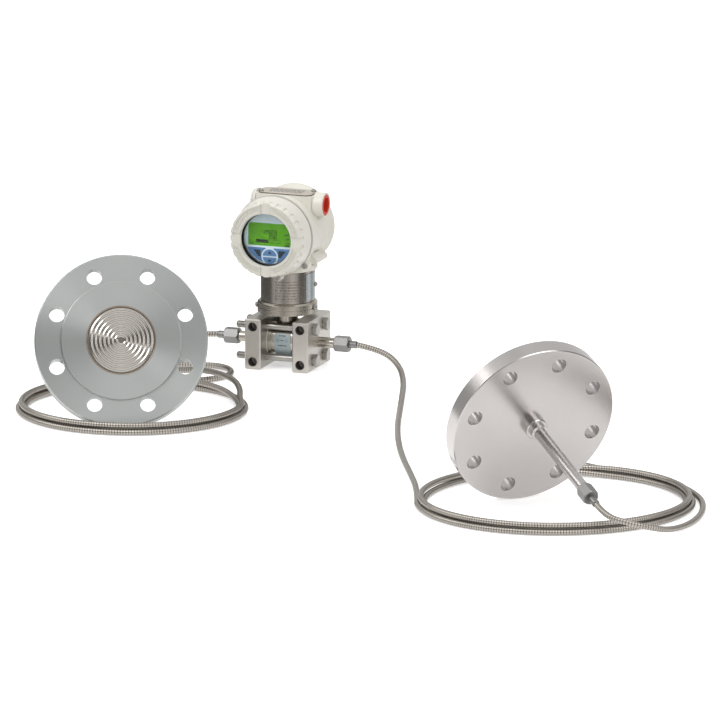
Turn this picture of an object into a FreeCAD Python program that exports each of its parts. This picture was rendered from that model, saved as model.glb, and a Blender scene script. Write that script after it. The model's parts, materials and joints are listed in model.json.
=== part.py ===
import FreeCAD, Part
import math
import os

os.makedirs("parts", exist_ok=True)

# Differential pressure transmitter with two remote diaphragm seals on armoured capillaries.
# Millimetres. +Z is up, the floor is Z = 0, the neck axis is the Z axis and the display looks along -Y.

# ---------------------------------------------------------------- clearances
RUN_CLEARANCE = 0.05       # radial, between a thread, spigot or button and its bore
SEAT_GAP = 0.3             # between soft or moving pieces and what they face
THREAD_CLEARANCE = 0.03    # radial, between a fixed screw and its hole

# ---------------------------------------------------------------- process flanges and cell
PLATE_GAP = 38.8           # between the two process flanges
PLATE_THICKNESS = 19.6
PLATE_DEPTH = 78.0
PLATE_HEIGHT = 59.5
PLATE_CHAMFER = 1.2
PORT_RADIUS = 5.55         # tapped bracket and vent holes in the front
REAR_PORT_RADIUS = 5.0
PORT_SPACING = 41.3
PORT_DEPTH = 15.0
FLANGE_BOLT_RADIUS = 4.0
FLANGE_BOLT_SPACING_Y = 35.0
FLANGE_BOLT_SPACING_Z = 36.6
FLANGE_BOLT_HEX = 13.0
FLANGE_BOLT_HEAD = 5.3
FLANGE_BOLT_END = 17.0     # how far the threaded ends stand out of the left flange
CELL_RADIUS = 19.0
CELL_RIM_RADIUS = 20.2
CELL_RIM_WIDTH = 4.0
CELL_GASKET = 1.0
LABEL_WIDTH = 20.0
LABEL_THICKNESS = 0.4
STEM_RADIUS = 12.4

# ---------------------------------------------------------------- neck
NECK_BASE_BOTTOM = 64.4
NECK_BASE_HEIGHT = 13.5
NECK_BASE_RADIUS = 35.0
NECK_BASE_LIP = 2.6        # wall of the hanging lip
NECK_BASE_LIP_DEPTH = 4.0
NECK_GROOVE_DEPTH = 0.8
NECK_GROOVE_HEIGHT = 1.0
NECK_RADIUS = 31.2
NECK_HEIGHT = 37.0
SPIGOT_RADIUS = 24.0
SPIGOT_HEIGHT = 5.5
NECK_GAP = 0.5             # dark line between neck and housing
BASE_SCREW_RADIUS = 1.8
BASE_SCREW_HEAD_RADIUS = 3.0
BASE_SCREW_HEAD = 2.6
BASE_SCREW_SHANK = 7.5
BASE_SCREW_RISE = 0.6      # screw axis above the middle of the base
BASE_SCREW_ANGLES = (200.0, -8.0, 96.0)
TAG_PLATE_THICKNESS = 0.8
TAG_PLATE_HEIGHT = 31.0
TAG_PLATE_ARC = 84.0       # degrees round the neck
TAG_PLATE_CENTRE = 14.0    # from +X towards +Y
TAG_SCREW_RADIUS = 2.9
TAG_SCREW_RIM = 0.9
TAG_SCREW_HEAD = 2.8

# ---------------------------------------------------------------- process adapters and armour ends
ADAPTER_COLLAR_HEX = 19.0
ADAPTER_COLLAR = 1.6
ADAPTER_RADIUS = 6.2
ADAPTER_LENGTH = 20.2
UNION_HEX = 17.0
UNION_LENGTH = 17.5
SLEEVE_RADIUS = 4.35
SLEEVE_LENGTH = 9.2
ARMOUR_RADIUS = 3.5

# ---------------------------------------------------------------- housing
BARREL_RISE = 47.2         # barrel axis above the bottom of the neck collar
BARREL_FRONT = -45.2       # joint plane of the front cover
BARREL_REAR = 30.0         # joint plane of the rear cover
BARREL_FRONT_RADIUS = 48.2
BARREL_WAIST_RADIUS = 41.4
BARREL_REAR_RADIUS = 47.4
WAIST_FRONT = -26.0
WAIST_REAR = 17.0
COVER_THREAD_RADIUS = 40.0
COVER_THREAD_LENGTH = 8.0
FRONT_CAVITY_RADIUS = 37.5
FRONT_CAVITY_FLOOR = -14.0
REAR_CAVITY_RADIUS = 32.0
REAR_CAVITY_FLOOR = -4.0
REAR_THREAD_RADIUS = 38.0
COLLAR_RADIUS = 35.0
COLLAR_HEIGHT = 24.6       # up into the barrel
COLLAR_LIP = 4.6           # widest band of the collar
COLLAR_EDGE = 1.2
COLLAR_STEP_RADIUS = 31.5
BOSS_DROP = 11.6           # boss axis below the deck's top face
BOSS_RADIUS = 14.5
RIGHT_BOSS_REACH = 47.5
LEFT_BOSS_PROUD = 2.2
BOSS_RIM_RADIUS = 12.4     # shallow seat for the cap in the right boss
BOSS_RIM_DEPTH = 1.6
BOSS_SUNK = 0.5            # how far the bosses start inside the deck's ends
BOSS_BORE_RADIUS = 10.2
BOSS_BORE_LENGTH = 19.0
DECK_INSIDE = 5.4
DECK_WIDTH = 30.0
DECK_PROUD = 0.6           # deck's top face above the top of the waist
DECK_CORNER = 6.0
GUSSET_THICKNESS = 7.0
GUSSET_INSET = 3.0         # from the right boss's mouth
GUSSET_START = 30.0        # from the neck axis
FOOT_WIDTH = 24.0
FOOT_LENGTH = 30.0
FOOT_RISE = 1.1            # lug's underside above the bottom of the collar
FOOT_TOP_DROP = 30.0       # lug's top below the barrel axis, inside the barrel
FOOT_CORNER = 5.0
FOOT_INSET = 2.0           # from the rear joint plane
LOCK_BOSS_RADIUS = 3.9
LOCK_BOSS_LENGTH = 12.0
LOCK_WEB = 8.0             # from the boss axis in to the barrel
LOCK_SCREW_RADIUS = 1.9
LOCK_SCREW_HEAD_RADIUS = 3.0
LOCK_SCREW_HEAD = 2.2
LOCK_HOLE_END = 3.0        # boss left behind the tapped hole
LOCK_SOCKET = 2.5
LOCK_PLACES = ((38.0, -33.7), (4.3, -50.4))   # front cover's lock screws, from the barrel axis
REAR_LOCK_PLACE = (34.5, -36.4)
REAR_LOCK_LENGTH = 36.0

# ---------------------------------------------------------------- terminal block
TERMINAL_LENGTH = 16.0
TERMINAL_CLEARANCE = 2.0
TROUGH_LENGTH = 52.0
TROUGH_WIDTH = 18.0
TROUGH_DEPTH = 7.0
TROUGH_MIDDLE = -7.0       # below the barrel axis
POST_RADIUS = 4.2
POST_HEIGHT = 5.0
POST_SPACING = 16.0

# ---------------------------------------------------------------- covers
COVER_JOINT_GAP = 1.2      # between cover and housing, filled by the O-ring
O_RING_INSET = 0.5         # below the cover's rim
COVER_LENGTH = 29.6
COVER_RADIUS = 46.8
COVER_NOSE_RADIUS = 42.2
COVER_BAND_DEPTH = 1.0
COVER_BAND_OUTER = 40.4
COVER_BAND_INNER = 34.2
COVER_SLOT_WIDTH = 13.0
COVER_SLOT_DEPTH = 2.4
COVER_SLOTS = 4
COVER_SCALLOP_RADIUS = 2.6
COVER_SCALLOP_LENGTH = 9.5
COVER_SCALLOP_SLOPE = 0.16 # outwards per unit of length
COVER_SCALLOPS = 28
WINDOW_RADIUS = 30.9
WINDOW_LIP = 5.0           # from the nose plane to the back of the glass seat
WINDOW_BEVEL = 2.6
GLASS_RADIUS = 32.8
GLASS_THICKNESS = 6.0
RETAINER_WIDTH = 2.8
RETAINER_THICKNESS = 3.0
COVER_INNER_RADIUS = 37.0
REAR_COVER_LENGTH = 10.0
REAR_COVER_RADIUS = 43.5
REAR_COVER_NOSE_RADIUS = 40.5
REAR_COVER_WALL = 4.0

# ---------------------------------------------------------------- display
ELECTRONICS_RADIUS = 35.0
DISPLAY_FRONT = -59.6
DISPLAY_BACK = -44.0
DISPLAY_RADIUS = 33.0
DISPLAY_EDGE = 3.4         # bezel left outside the keys
LCD_WIDTH = 53.2
LCD_HEIGHT = 27.0
LCD_RISE = 3.9             # centre of the glass above the barrel axis
LCD_POCKET = 1.2
LCD_THICKNESS = 0.8
KEY_TOP = -11.9            # top edge of the side keys, from the barrel axis
KEY_STEM = 2.4             # depth of a key's pocket
KEY_PROUD = 0.6
PAD_DROP = 22.1            # centre of the round pad below the barrel axis
SIDE_KEY_NEAR = 5.0
PAD_RADIUS = 8.5
PAD_OUTLINE = 1.9          # bezel between round pad and side keys
PAD_SPLIT = 1.7            # bezel between up and down key

# ---------------------------------------------------------------- top plate and buttons
GASKET_THICKNESS = 0.8
NAMEPLATE_LENGTH = 66.0
NAMEPLATE_WIDTH = 28.0
NAMEPLATE_CORNER = 5.0
NAMEPLATE_THICKNESS = 1.0
NAMEPLATE_SCREW_X = 29.0
NAMEPLATE_SCREW_Y = 9.0
NAMEPLATE_SCREW_RADIUS = 1.5
NAMEPLATE_SCREW_DEPTH = 4.4
NAMEPLATE_HEAD_RADIUS = 2.8
NAMEPLATE_HEAD = 2.0
BUTTON_PLACES = ((0.0, 10.3), (9.0, 10.3), (18.0, 10.3))
BUTTON_RADIUS = 2.4
BUTTON_LENGTH = 7.0
BUTTON_SINK = 0.4          # button top below the gasket's top face
BUTTON_TRAVEL = 1.5

# ---------------------------------------------------------------- conduit plugs
PLUG_FACE_RADIUS = 12.1
PLUG_FACE = 1.9
PLUG_LENGTH = 14.0
PLUG_RECESS_RADIUS = 9.0
PLUG_RECESS_DEPTH = 11.0
BLIND_WASHER = 1.2
BLIND_HEX = 8.0
BLIND_HEAD_RADIUS = 13.2
BLIND_HEAD = 2.8

# ---------------------------------------------------------------- remote seals
SEAL_RADIUS = 100.0
SEAL_THICKNESS = 22.0      # without the raised face
RAISED_RADIUS = 69.0
RAISED_HEIGHT = 2.0
SEAL_CHAMFER = 1.0
SEAL_BOLT_CIRCLE = 80.0
SEAL_BOLT_HOLES = 8
SEAL_HOLE_RADIUS = 9.0
DIAPHRAGM_RADIUS = 39.0
DIAPHRAGM_SEAT = 2.0
DIAPHRAGM_THICKNESS = 0.8
CORRUGATION_INNER = 6.0
CORRUGATION_PITCH = 3.6
CORRUGATIONS = 6
CORRUGATION_HEIGHT = 0.8
HUB_RADIUS = 13.0
HUB_STEP_RADIUS = 9.5
HUB_HEIGHT = 10.0
HUB_STEP_HEIGHT = 8.0
STUB_RADIUS = 7.0
STUB_LENGTH = 135.0        # from the back face to the nut
SEAL_NUT_LENGTH = 19.6
SEAL_SLEEVE_LENGTH = 13.2

# ---------------------------------------------------------------- layout on the floor
LAYOUT_TURN = 20.0         # the layout's own U axis is turned this much from X; T runs to the front
SEAL_LEAN = 21.2           # the seals stand on their rims, stubs sloping down by this angle
LEFT_FOOT = (-190.6, 342.2)
LEFT_HEADING = -90.7       # direction of the stub in the layout, degrees from U towards T
RIGHT_FOOT = (265.2, 704.5)
RIGHT_HEADING = 63.3
RIGHT_SPIN = 9.4           # turn of the right seal about its own axis, seen in its bolt holes

COIL_STRANDS_WIDTH = 14.4  # width of two strands side by side
COIL_HEIGHT = 14.0         # two layers
LEFT_COIL_CENTRE = (-179.0, 245.8)
LEFT_COIL_RADIUS = 127.4
RIGHT_COIL_CENTRE = (306.0, 738.0)
RIGHT_COIL_RADIUS = 153.0

# Routes of the armour outside the coils, in layout U, T and height.
LEFT_LEAD = ((-116.0, -42.0, 27.5), (-158.0, -58.0, 16.0), (-199.0, -70.0, 5.0), (-233.0, -53.0, 3.5),
             (-240.0, -16.0, 3.5), (-217.0, 13.0, 3.5), (-155.0, 18.0, 3.5), (-90.0, 15.0, 3.5),
             (-65.5, 38.0, 3.5), (-65.5, 72.0, 3.5), (-89.0, 97.0, 3.5), (-134.0, 106.0, 3.5),
             (-171.0, 113.6, 3.5))
LEFT_TAIL = ((-55.0, 222.0, 10.6), (-54.0, 188.0, 11.2), (-60.0, 150.0, 14.4), (-79.0, 113.0, 15.0),
             (-102.0, 82.0, 12.0), (-132.0, 62.0, 6.5), (-166.0, 60.0, 7.5), (-193.0, 86.0, 17.5),
             (-193.5, 119.0, 20.9))
RIGHT_LEAD = ((110.0, 41.0, 26.0), (130.0, 68.0, 14.0), (135.0, 112.0, 4.5), (133.0, 180.0, 3.5),
              (130.0, 260.0, 3.5), (127.0, 345.0, 3.5), (128.0, 430.0, 3.5), (133.0, 510.0, 3.5),
              (141.0, 585.0, 3.5), (147.6, 652.0, 3.5), (149.4, 717.0, 3.5))
RIGHT_TAIL = ((323.0, 586.0, 9.5), (289.0, 585.0, 5.5), (252.0, 581.5, 3.5), (229.0, 547.5, 3.5),
              (244.0, 507.5, 3.5), (286.0, 498.5, 3.5), (331.0, 537.5, 3.5), (371.0, 576.5, 3.5),
              (406.0, 603.0, 3.5), (450.0, 652.0, 3.5), (472.0, 714.6, 3.5), (475.0, 765.0, 3.5),
              (470.0, 812.0, 3.5), (456.0, 856.0, 3.5), (434.0, 890.0, 5.0), (411.0, 908.5, 12.5),
              (386.0, 912.5, 19.0), (362.3, 899.0, 23.5))

UP = FreeCAD.Vector(0, 0, 1)
ALONG_X = FreeCAD.Vector(1, 0, 0)
ALONG_Y = FreeCAD.Vector(0, 1, 0)
ORIGIN = FreeCAD.Vector(0, 0, 0)


# ---------------------------------------------------------------- helpers
def vec(x, y, z):
    return FreeCAD.Vector(x, y, z)


def cylinder(radius, length, base, direction):
    return Part.makeCylinder(radius, length, vec(*base), direction)


def box(x0, x1, y0, y1, z0, z1):
    return Part.makeBox(x1 - x0, y1 - y0, z1 - z0, vec(x0, y0, z0))


def polygon(points):
    return Part.makePolygon([vec(*p) for p in points] + [vec(*points[0])])


def lathe(profile):
    """Solid of revolution about Z from a closed (radius, height) profile."""
    wire = polygon([(r, 0, z) for r, z in profile])
    return Part.Face(wire).revolve(ORIGIN, UP, 360)


def ring(inner, outer, z0, z1):
    return lathe([(inner, z0), (outer, z0), (outer, z1), (inner, z1)])


def hex_prism(across_flats, length, corner_turn=0.0):
    """Hexagonal prism on Z, its corners chamfered by an intersecting cone pair."""
    corner = across_flats / math.sqrt(3)
    points = []
    for k in range(6):
        angle = math.radians(60 * k + corner_turn)
        points.append((corner * math.cos(angle), corner * math.sin(angle), 0))
    prism = Part.Face(polygon(points)).extrude(vec(0, 0, length))
    bevel = corner - across_flats / 2
    rounder = lathe([(0, 0), (across_flats / 2, 0), (corner, bevel), (corner, length - bevel),
                     (across_flats / 2, length), (0, length)])
    return prism.common(rounder)


def place(shape, origin, direction):
    """Move a shape built on +Z so that its axis starts at origin and runs along direction."""
    return placed(shape, FreeCAD.Placement(origin, FreeCAD.Rotation(UP, direction)))


def placed(shape, placement):
    copy = shape.copy()
    copy.Placement = placement.multiply(copy.Placement)
    return copy


def row_point(u, t, z=0.0):
    """Layout coordinates to the part's frame."""
    turn = math.radians(LAYOUT_TURN)
    return vec(math.cos(turn) * u + math.sin(turn) * t, math.sin(turn) * u - math.cos(turn) * t, z)


def save(node, shape):
    if isinstance(shape, (list, tuple)):
        shape = Part.makeCompound(list(shape))
    shape.exportStep("parts/%s.step" % node)


# ---------------------------------------------------------------- derived sizes
PLATE_OUTER = PLATE_GAP / 2 + PLATE_THICKNESS
CELL_AXIS = PLATE_HEIGHT / 2
NECK_BOTTOM = NECK_BASE_BOTTOM + NECK_BASE_HEIGHT
NECK_TOP = NECK_BOTTOM + NECK_HEIGHT
BASE_SCREW_HEIGHT = NECK_BASE_BOTTOM + NECK_BASE_HEIGHT / 2 + BASE_SCREW_RISE
TAG_PLATE_OUTER = NECK_RADIUS + RUN_CLEARANCE + TAG_PLATE_THICKNESS
COLLAR_BOTTOM = NECK_TOP + NECK_GAP
COLLAR_TOP = COLLAR_BOTTOM + COLLAR_HEIGHT
BARREL_HEIGHT = COLLAR_BOTTOM + BARREL_RISE
DECK_TOP = BARREL_HEIGHT + BARREL_WAIST_RADIUS + DECK_PROUD
DECK_LENGTH = 2 * (BARREL_WAIST_RADIUS - DECK_INSIDE)
LEFT_BOSS_REACH = DECK_LENGTH / 2 + LEFT_BOSS_PROUD
BOSS_HEIGHT = DECK_TOP - BOSS_DROP
COVER_BACK = BARREL_FRONT - COVER_JOINT_GAP
COVER_NOSE = COVER_BACK - COVER_LENGTH
REAR_COVER_BACK = BARREL_REAR + COVER_JOINT_GAP
GLASS_FRONT = COVER_NOSE + WINDOW_LIP
GASKET_TOP = DECK_TOP + GASKET_THICKNESS
NAMEPLATE_BOTTOM = GASKET_TOP + RUN_CLEARANCE
NAMEPLATE_TOP = NAMEPLATE_BOTTOM + NAMEPLATE_THICKNESS
FLANGE_BOLTS = [(sy * FLANGE_BOLT_SPACING_Y / 2, CELL_AXIS + sz * FLANGE_BOLT_SPACING_Z / 2)
                for sy in (-1, 1) for sz in (-1, 1)]


# ---------------------------------------------------------------- process flanges, cell, bolts
def process_flange(side):
    """side is -1 for the left flange, 1 for the right one."""
    inner, outer = PLATE_GAP / 2, PLATE_OUTER
    x0, x1 = (inner, outer) if side > 0 else (-outer, -inner)
    plate = box(x0, x1, -PLATE_DEPTH / 2, PLATE_DEPTH / 2, 0, PLATE_HEIGHT)
    plate = plate.makeChamfer(PLATE_CHAMFER, plate.Edges)
    middle = side * (inner + outer) / 2
    for front, radius in ((-1, PORT_RADIUS), (1, REAR_PORT_RADIUS)):
        for dz in (-PORT_SPACING / 2, PORT_SPACING / 2):
            mouth = (middle, front * PLATE_DEPTH / 2, CELL_AXIS + dz)
            plate = plate.cut(cylinder(radius, PORT_DEPTH, mouth, ALONG_Y * -front))
    bolt_hole = FLANGE_BOLT_RADIUS + THREAD_CLEARANCE
    for y, z in FLANGE_BOLTS:
        plate = plate.cut(cylinder(bolt_hole, PLATE_THICKNESS, (x0, y, z), ALONG_X))
    return plate


def flange_bolt(y, z):
    shank_end = PLATE_OUTER + FLANGE_BOLT_END
    tip = FLANGE_BOLT_RADIUS * 0.35
    shank = lathe([(0, 0), (FLANGE_BOLT_RADIUS - tip, 0), (FLANGE_BOLT_RADIUS, tip),
                   (FLANGE_BOLT_RADIUS, shank_end + PLATE_OUTER), (0, shank_end + PLATE_OUTER)])
    head = hex_prism(FLANGE_BOLT_HEX, FLANGE_BOLT_HEAD)
    head.translate(vec(0, 0, shank_end + PLATE_OUTER))
    return place(shank.fuse(head), vec(-shank_end, y, z), ALONG_X)


def sensor_cell():
    half = PLATE_GAP / 2 - CELL_GASKET
    inner = half - CELL_RIM_WIDTH
    profile = [(0, -half), (CELL_RIM_RADIUS, -half), (CELL_RIM_RADIUS, -inner), (CELL_RADIUS, -inner),
               (CELL_RADIUS, inner), (CELL_RIM_RADIUS, inner), (CELL_RIM_RADIUS, half), (0, half)]
    body = place(lathe(profile), vec(0, 0, CELL_AXIS), ALONG_X)
    stem = cylinder(STEM_RADIUS, NECK_BASE_BOTTOM + NECK_BASE_LIP_DEPTH - CELL_AXIS, (0, 0, CELL_AXIS), UP)
    return body.fuse(stem).removeSplitter()


def cell_gasket(side):
    shape = ring(CELL_RADIUS - 6.0, CELL_RIM_RADIUS, 0, CELL_GASKET)
    return place(shape, vec(side * PLATE_GAP / 2, 0, CELL_AXIS), ALONG_X * -side)


def cell_label():
    """Thin printed sleeve round the lower part of the cell, open at the top for the stem."""
    inner = CELL_RADIUS + RUN_CLEARANCE
    shape = ring(inner, inner + LABEL_THICKNESS, -LABEL_WIDTH / 2, LABEL_WIDTH / 2)
    shape = place(shape, vec(0, 0, CELL_AXIS), ALONG_X)
    keep = CELL_AXIS + CELL_RADIUS * 0.55
    return shape.common(box(-LABEL_WIDTH, LABEL_WIDTH, -2 * CELL_RADIUS, 2 * CELL_RADIUS, 0, keep))


# ---------------------------------------------------------------- neck
def neck_base():
    """Disc under the neck with a hanging lip and one groove round its rim."""
    z0, z1 = NECK_BASE_BOTTOM, NECK_BOTTOM
    r, lip = NECK_BASE_RADIUS, NECK_BASE_RADIUS - NECK_BASE_LIP
    middle = (z0 + z1) / 2 - NECK_GROOVE_HEIGHT
    profile = [(0, z0 + NECK_BASE_LIP_DEPTH), (lip, z0 + NECK_BASE_LIP_DEPTH), (lip, z0), (r, z0),
               (r, middle), (r - NECK_GROOVE_DEPTH, middle),
               (r - NECK_GROOVE_DEPTH, middle + NECK_GROOVE_HEIGHT), (r, middle + NECK_GROOVE_HEIGHT),
               (r, z1 - 2.0), (r - 2.0, z1), (0, z1)]
    body = lathe(profile)
    for angle in BASE_SCREW_ANGLES:
        a = math.radians(angle)
        out = vec(math.cos(a), math.sin(a), 0)
        deep = BASE_SCREW_SHANK + 0.5
        hole = Part.makeCylinder(BASE_SCREW_RADIUS + THREAD_CLEARANCE, deep,
                                 out * (r - deep) + UP * BASE_SCREW_HEIGHT, out)
        body = body.cut(hole)
    return body


def neck_base_screw(angle):
    a = math.radians(angle)
    out = vec(math.cos(a), math.sin(a), 0)
    seat, top = BASE_SCREW_SHANK, BASE_SCREW_SHANK + BASE_SCREW_HEAD
    head = BASE_SCREW_HEAD_RADIUS
    screw = lathe([(0, 0), (BASE_SCREW_RADIUS, 0), (BASE_SCREW_RADIUS, seat), (head, seat),
                   (head, seat + 0.6 * BASE_SCREW_HEAD), (0.6 * head, top), (0, top)])
    return place(screw, out * (NECK_BASE_RADIUS - seat) + UP * BASE_SCREW_HEIGHT, out)


def neck_body():
    """Steel sensor neck with the spigot that the housing turns on."""
    z0, z1 = NECK_BOTTOM, NECK_TOP
    return lathe([(0, z0), (NECK_RADIUS, z0), (NECK_RADIUS, z1 - 0.6), (NECK_RADIUS - 0.6, z1),
                  (SPIGOT_RADIUS, z1), (SPIGOT_RADIUS, z1 + SPIGOT_HEIGHT), (0, z1 + SPIGOT_HEIGHT)])


def tag_plate():
    """Curved sheet on the right side of the neck."""
    z0 = NECK_BOTTOM + (NECK_HEIGHT - TAG_PLATE_HEIGHT) / 2
    inner, outer, z1 = NECK_RADIUS + RUN_CLEARANCE, TAG_PLATE_OUTER, z0 + TAG_PLATE_HEIGHT
    profile = polygon([(r, 0, z) for r, z in ((inner, z0), (outer, z0), (outer, z1), (inner, z1))])
    sheet = Part.Face(profile).revolve(ORIGIN, UP, TAG_PLATE_ARC)
    sheet.rotate(ORIGIN, UP, TAG_PLATE_CENTRE - TAG_PLATE_ARC / 2)
    return sheet


def tag_plate_screw():
    r = TAG_SCREW_RADIUS
    profile = [(0, 0), (r, 0), (r, TAG_SCREW_RIM), (0.55 * r, TAG_SCREW_HEAD), (0, TAG_SCREW_HEAD)]
    angle = math.radians(TAG_PLATE_CENTRE)
    out = vec(math.cos(angle), math.sin(angle), 0)
    start = out * TAG_PLATE_OUTER + vec(0, 0, NECK_BOTTOM + NECK_HEIGHT / 2)
    return place(lathe(profile), start, out)


# ---------------------------------------------------------------- adapters
def adapter(side):
    collar = hex_prism(ADAPTER_COLLAR_HEX, ADAPTER_COLLAR, 30.0)
    tube = cylinder(ADAPTER_RADIUS, ADAPTER_LENGTH, (0, 0, 0), UP)
    return place(collar.fuse(tube), vec(side * PLATE_OUTER, 0, CELL_AXIS), ALONG_X * side)


def union_nut(side):
    start = vec(side * (PLATE_OUTER + ADAPTER_LENGTH), 0, CELL_AXIS)
    return place(hex_prism(UNION_HEX, UNION_LENGTH, 30.0), start, ALONG_X * side)


def crimp_sleeve(side):
    start = vec(side * (PLATE_OUTER + ADAPTER_LENGTH + UNION_LENGTH), 0, CELL_AXIS)
    return place(sleeve(SLEEVE_LENGTH), start, ALONG_X * side)


def sleeve(length):
    r = SLEEVE_RADIUS
    return lathe([(0, 0), (r, 0), (r, length - 0.6), (r - 0.6, length), (0, length)])


# ---------------------------------------------------------------- housing
def barrel_profile():
    """Outer shape of the barrel: two flanges joined by arcs to a slimmer waist, closed on the axis."""
    def arc(r0, y0, r1, y1, bulge):
        middle = vec((r0 + r1) / 2 + bulge, 0, (y0 + y1) / 2)
        return Part.Arc(vec(r0, 0, y0), middle, vec(r1, 0, y1)).toShape()

    front_step = BARREL_FRONT + 4.0
    rear_step = BARREL_REAR - 4.0
    edges = [
        Part.makeLine(vec(0, 0, BARREL_FRONT), vec(BARREL_FRONT_RADIUS, 0, BARREL_FRONT)),
        Part.makeLine(vec(BARREL_FRONT_RADIUS, 0, BARREL_FRONT), vec(BARREL_FRONT_RADIUS, 0, front_step)),
        arc(BARREL_FRONT_RADIUS, front_step, BARREL_WAIST_RADIUS, WAIST_FRONT, -0.6),
        Part.makeLine(vec(BARREL_WAIST_RADIUS, 0, WAIST_FRONT), vec(BARREL_WAIST_RADIUS, 0, WAIST_REAR)),
        arc(BARREL_WAIST_RADIUS, WAIST_REAR, BARREL_REAR_RADIUS, rear_step, -0.5),
        Part.makeLine(vec(BARREL_REAR_RADIUS, 0, rear_step), vec(BARREL_REAR_RADIUS, 0, BARREL_REAR)),
        Part.makeLine(vec(BARREL_REAR_RADIUS, 0, BARREL_REAR), vec(0, 0, BARREL_REAR)),
        Part.makeLine(vec(0, 0, BARREL_REAR), vec(0, 0, BARREL_FRONT)),
    ]
    return Part.Face(Part.Wire(edges))


def on_barrel(shape):
    """Move a shape built about Z, with Z standing for Y, onto the barrel axis."""
    return place(shape, vec(0, 0, BARREL_HEIGHT), ALONG_Y)


def lock_boss(x, drop, front, length):
    """Round boss for a lock screw and the web that joins it to the barrel."""
    boss = cylinder(LOCK_BOSS_RADIUS, length, (x, front, BARREL_HEIGHT + drop), ALONG_Y)
    web = box(-LOCK_BOSS_RADIUS, LOCK_BOSS_RADIUS, 0, length, 0, LOCK_WEB)
    web.rotate(ORIGIN, ALONG_Y, -math.degrees(math.atan2(x, -drop)))
    web.translate(vec(x, front, BARREL_HEIGHT + drop))
    return [boss, web]


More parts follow.
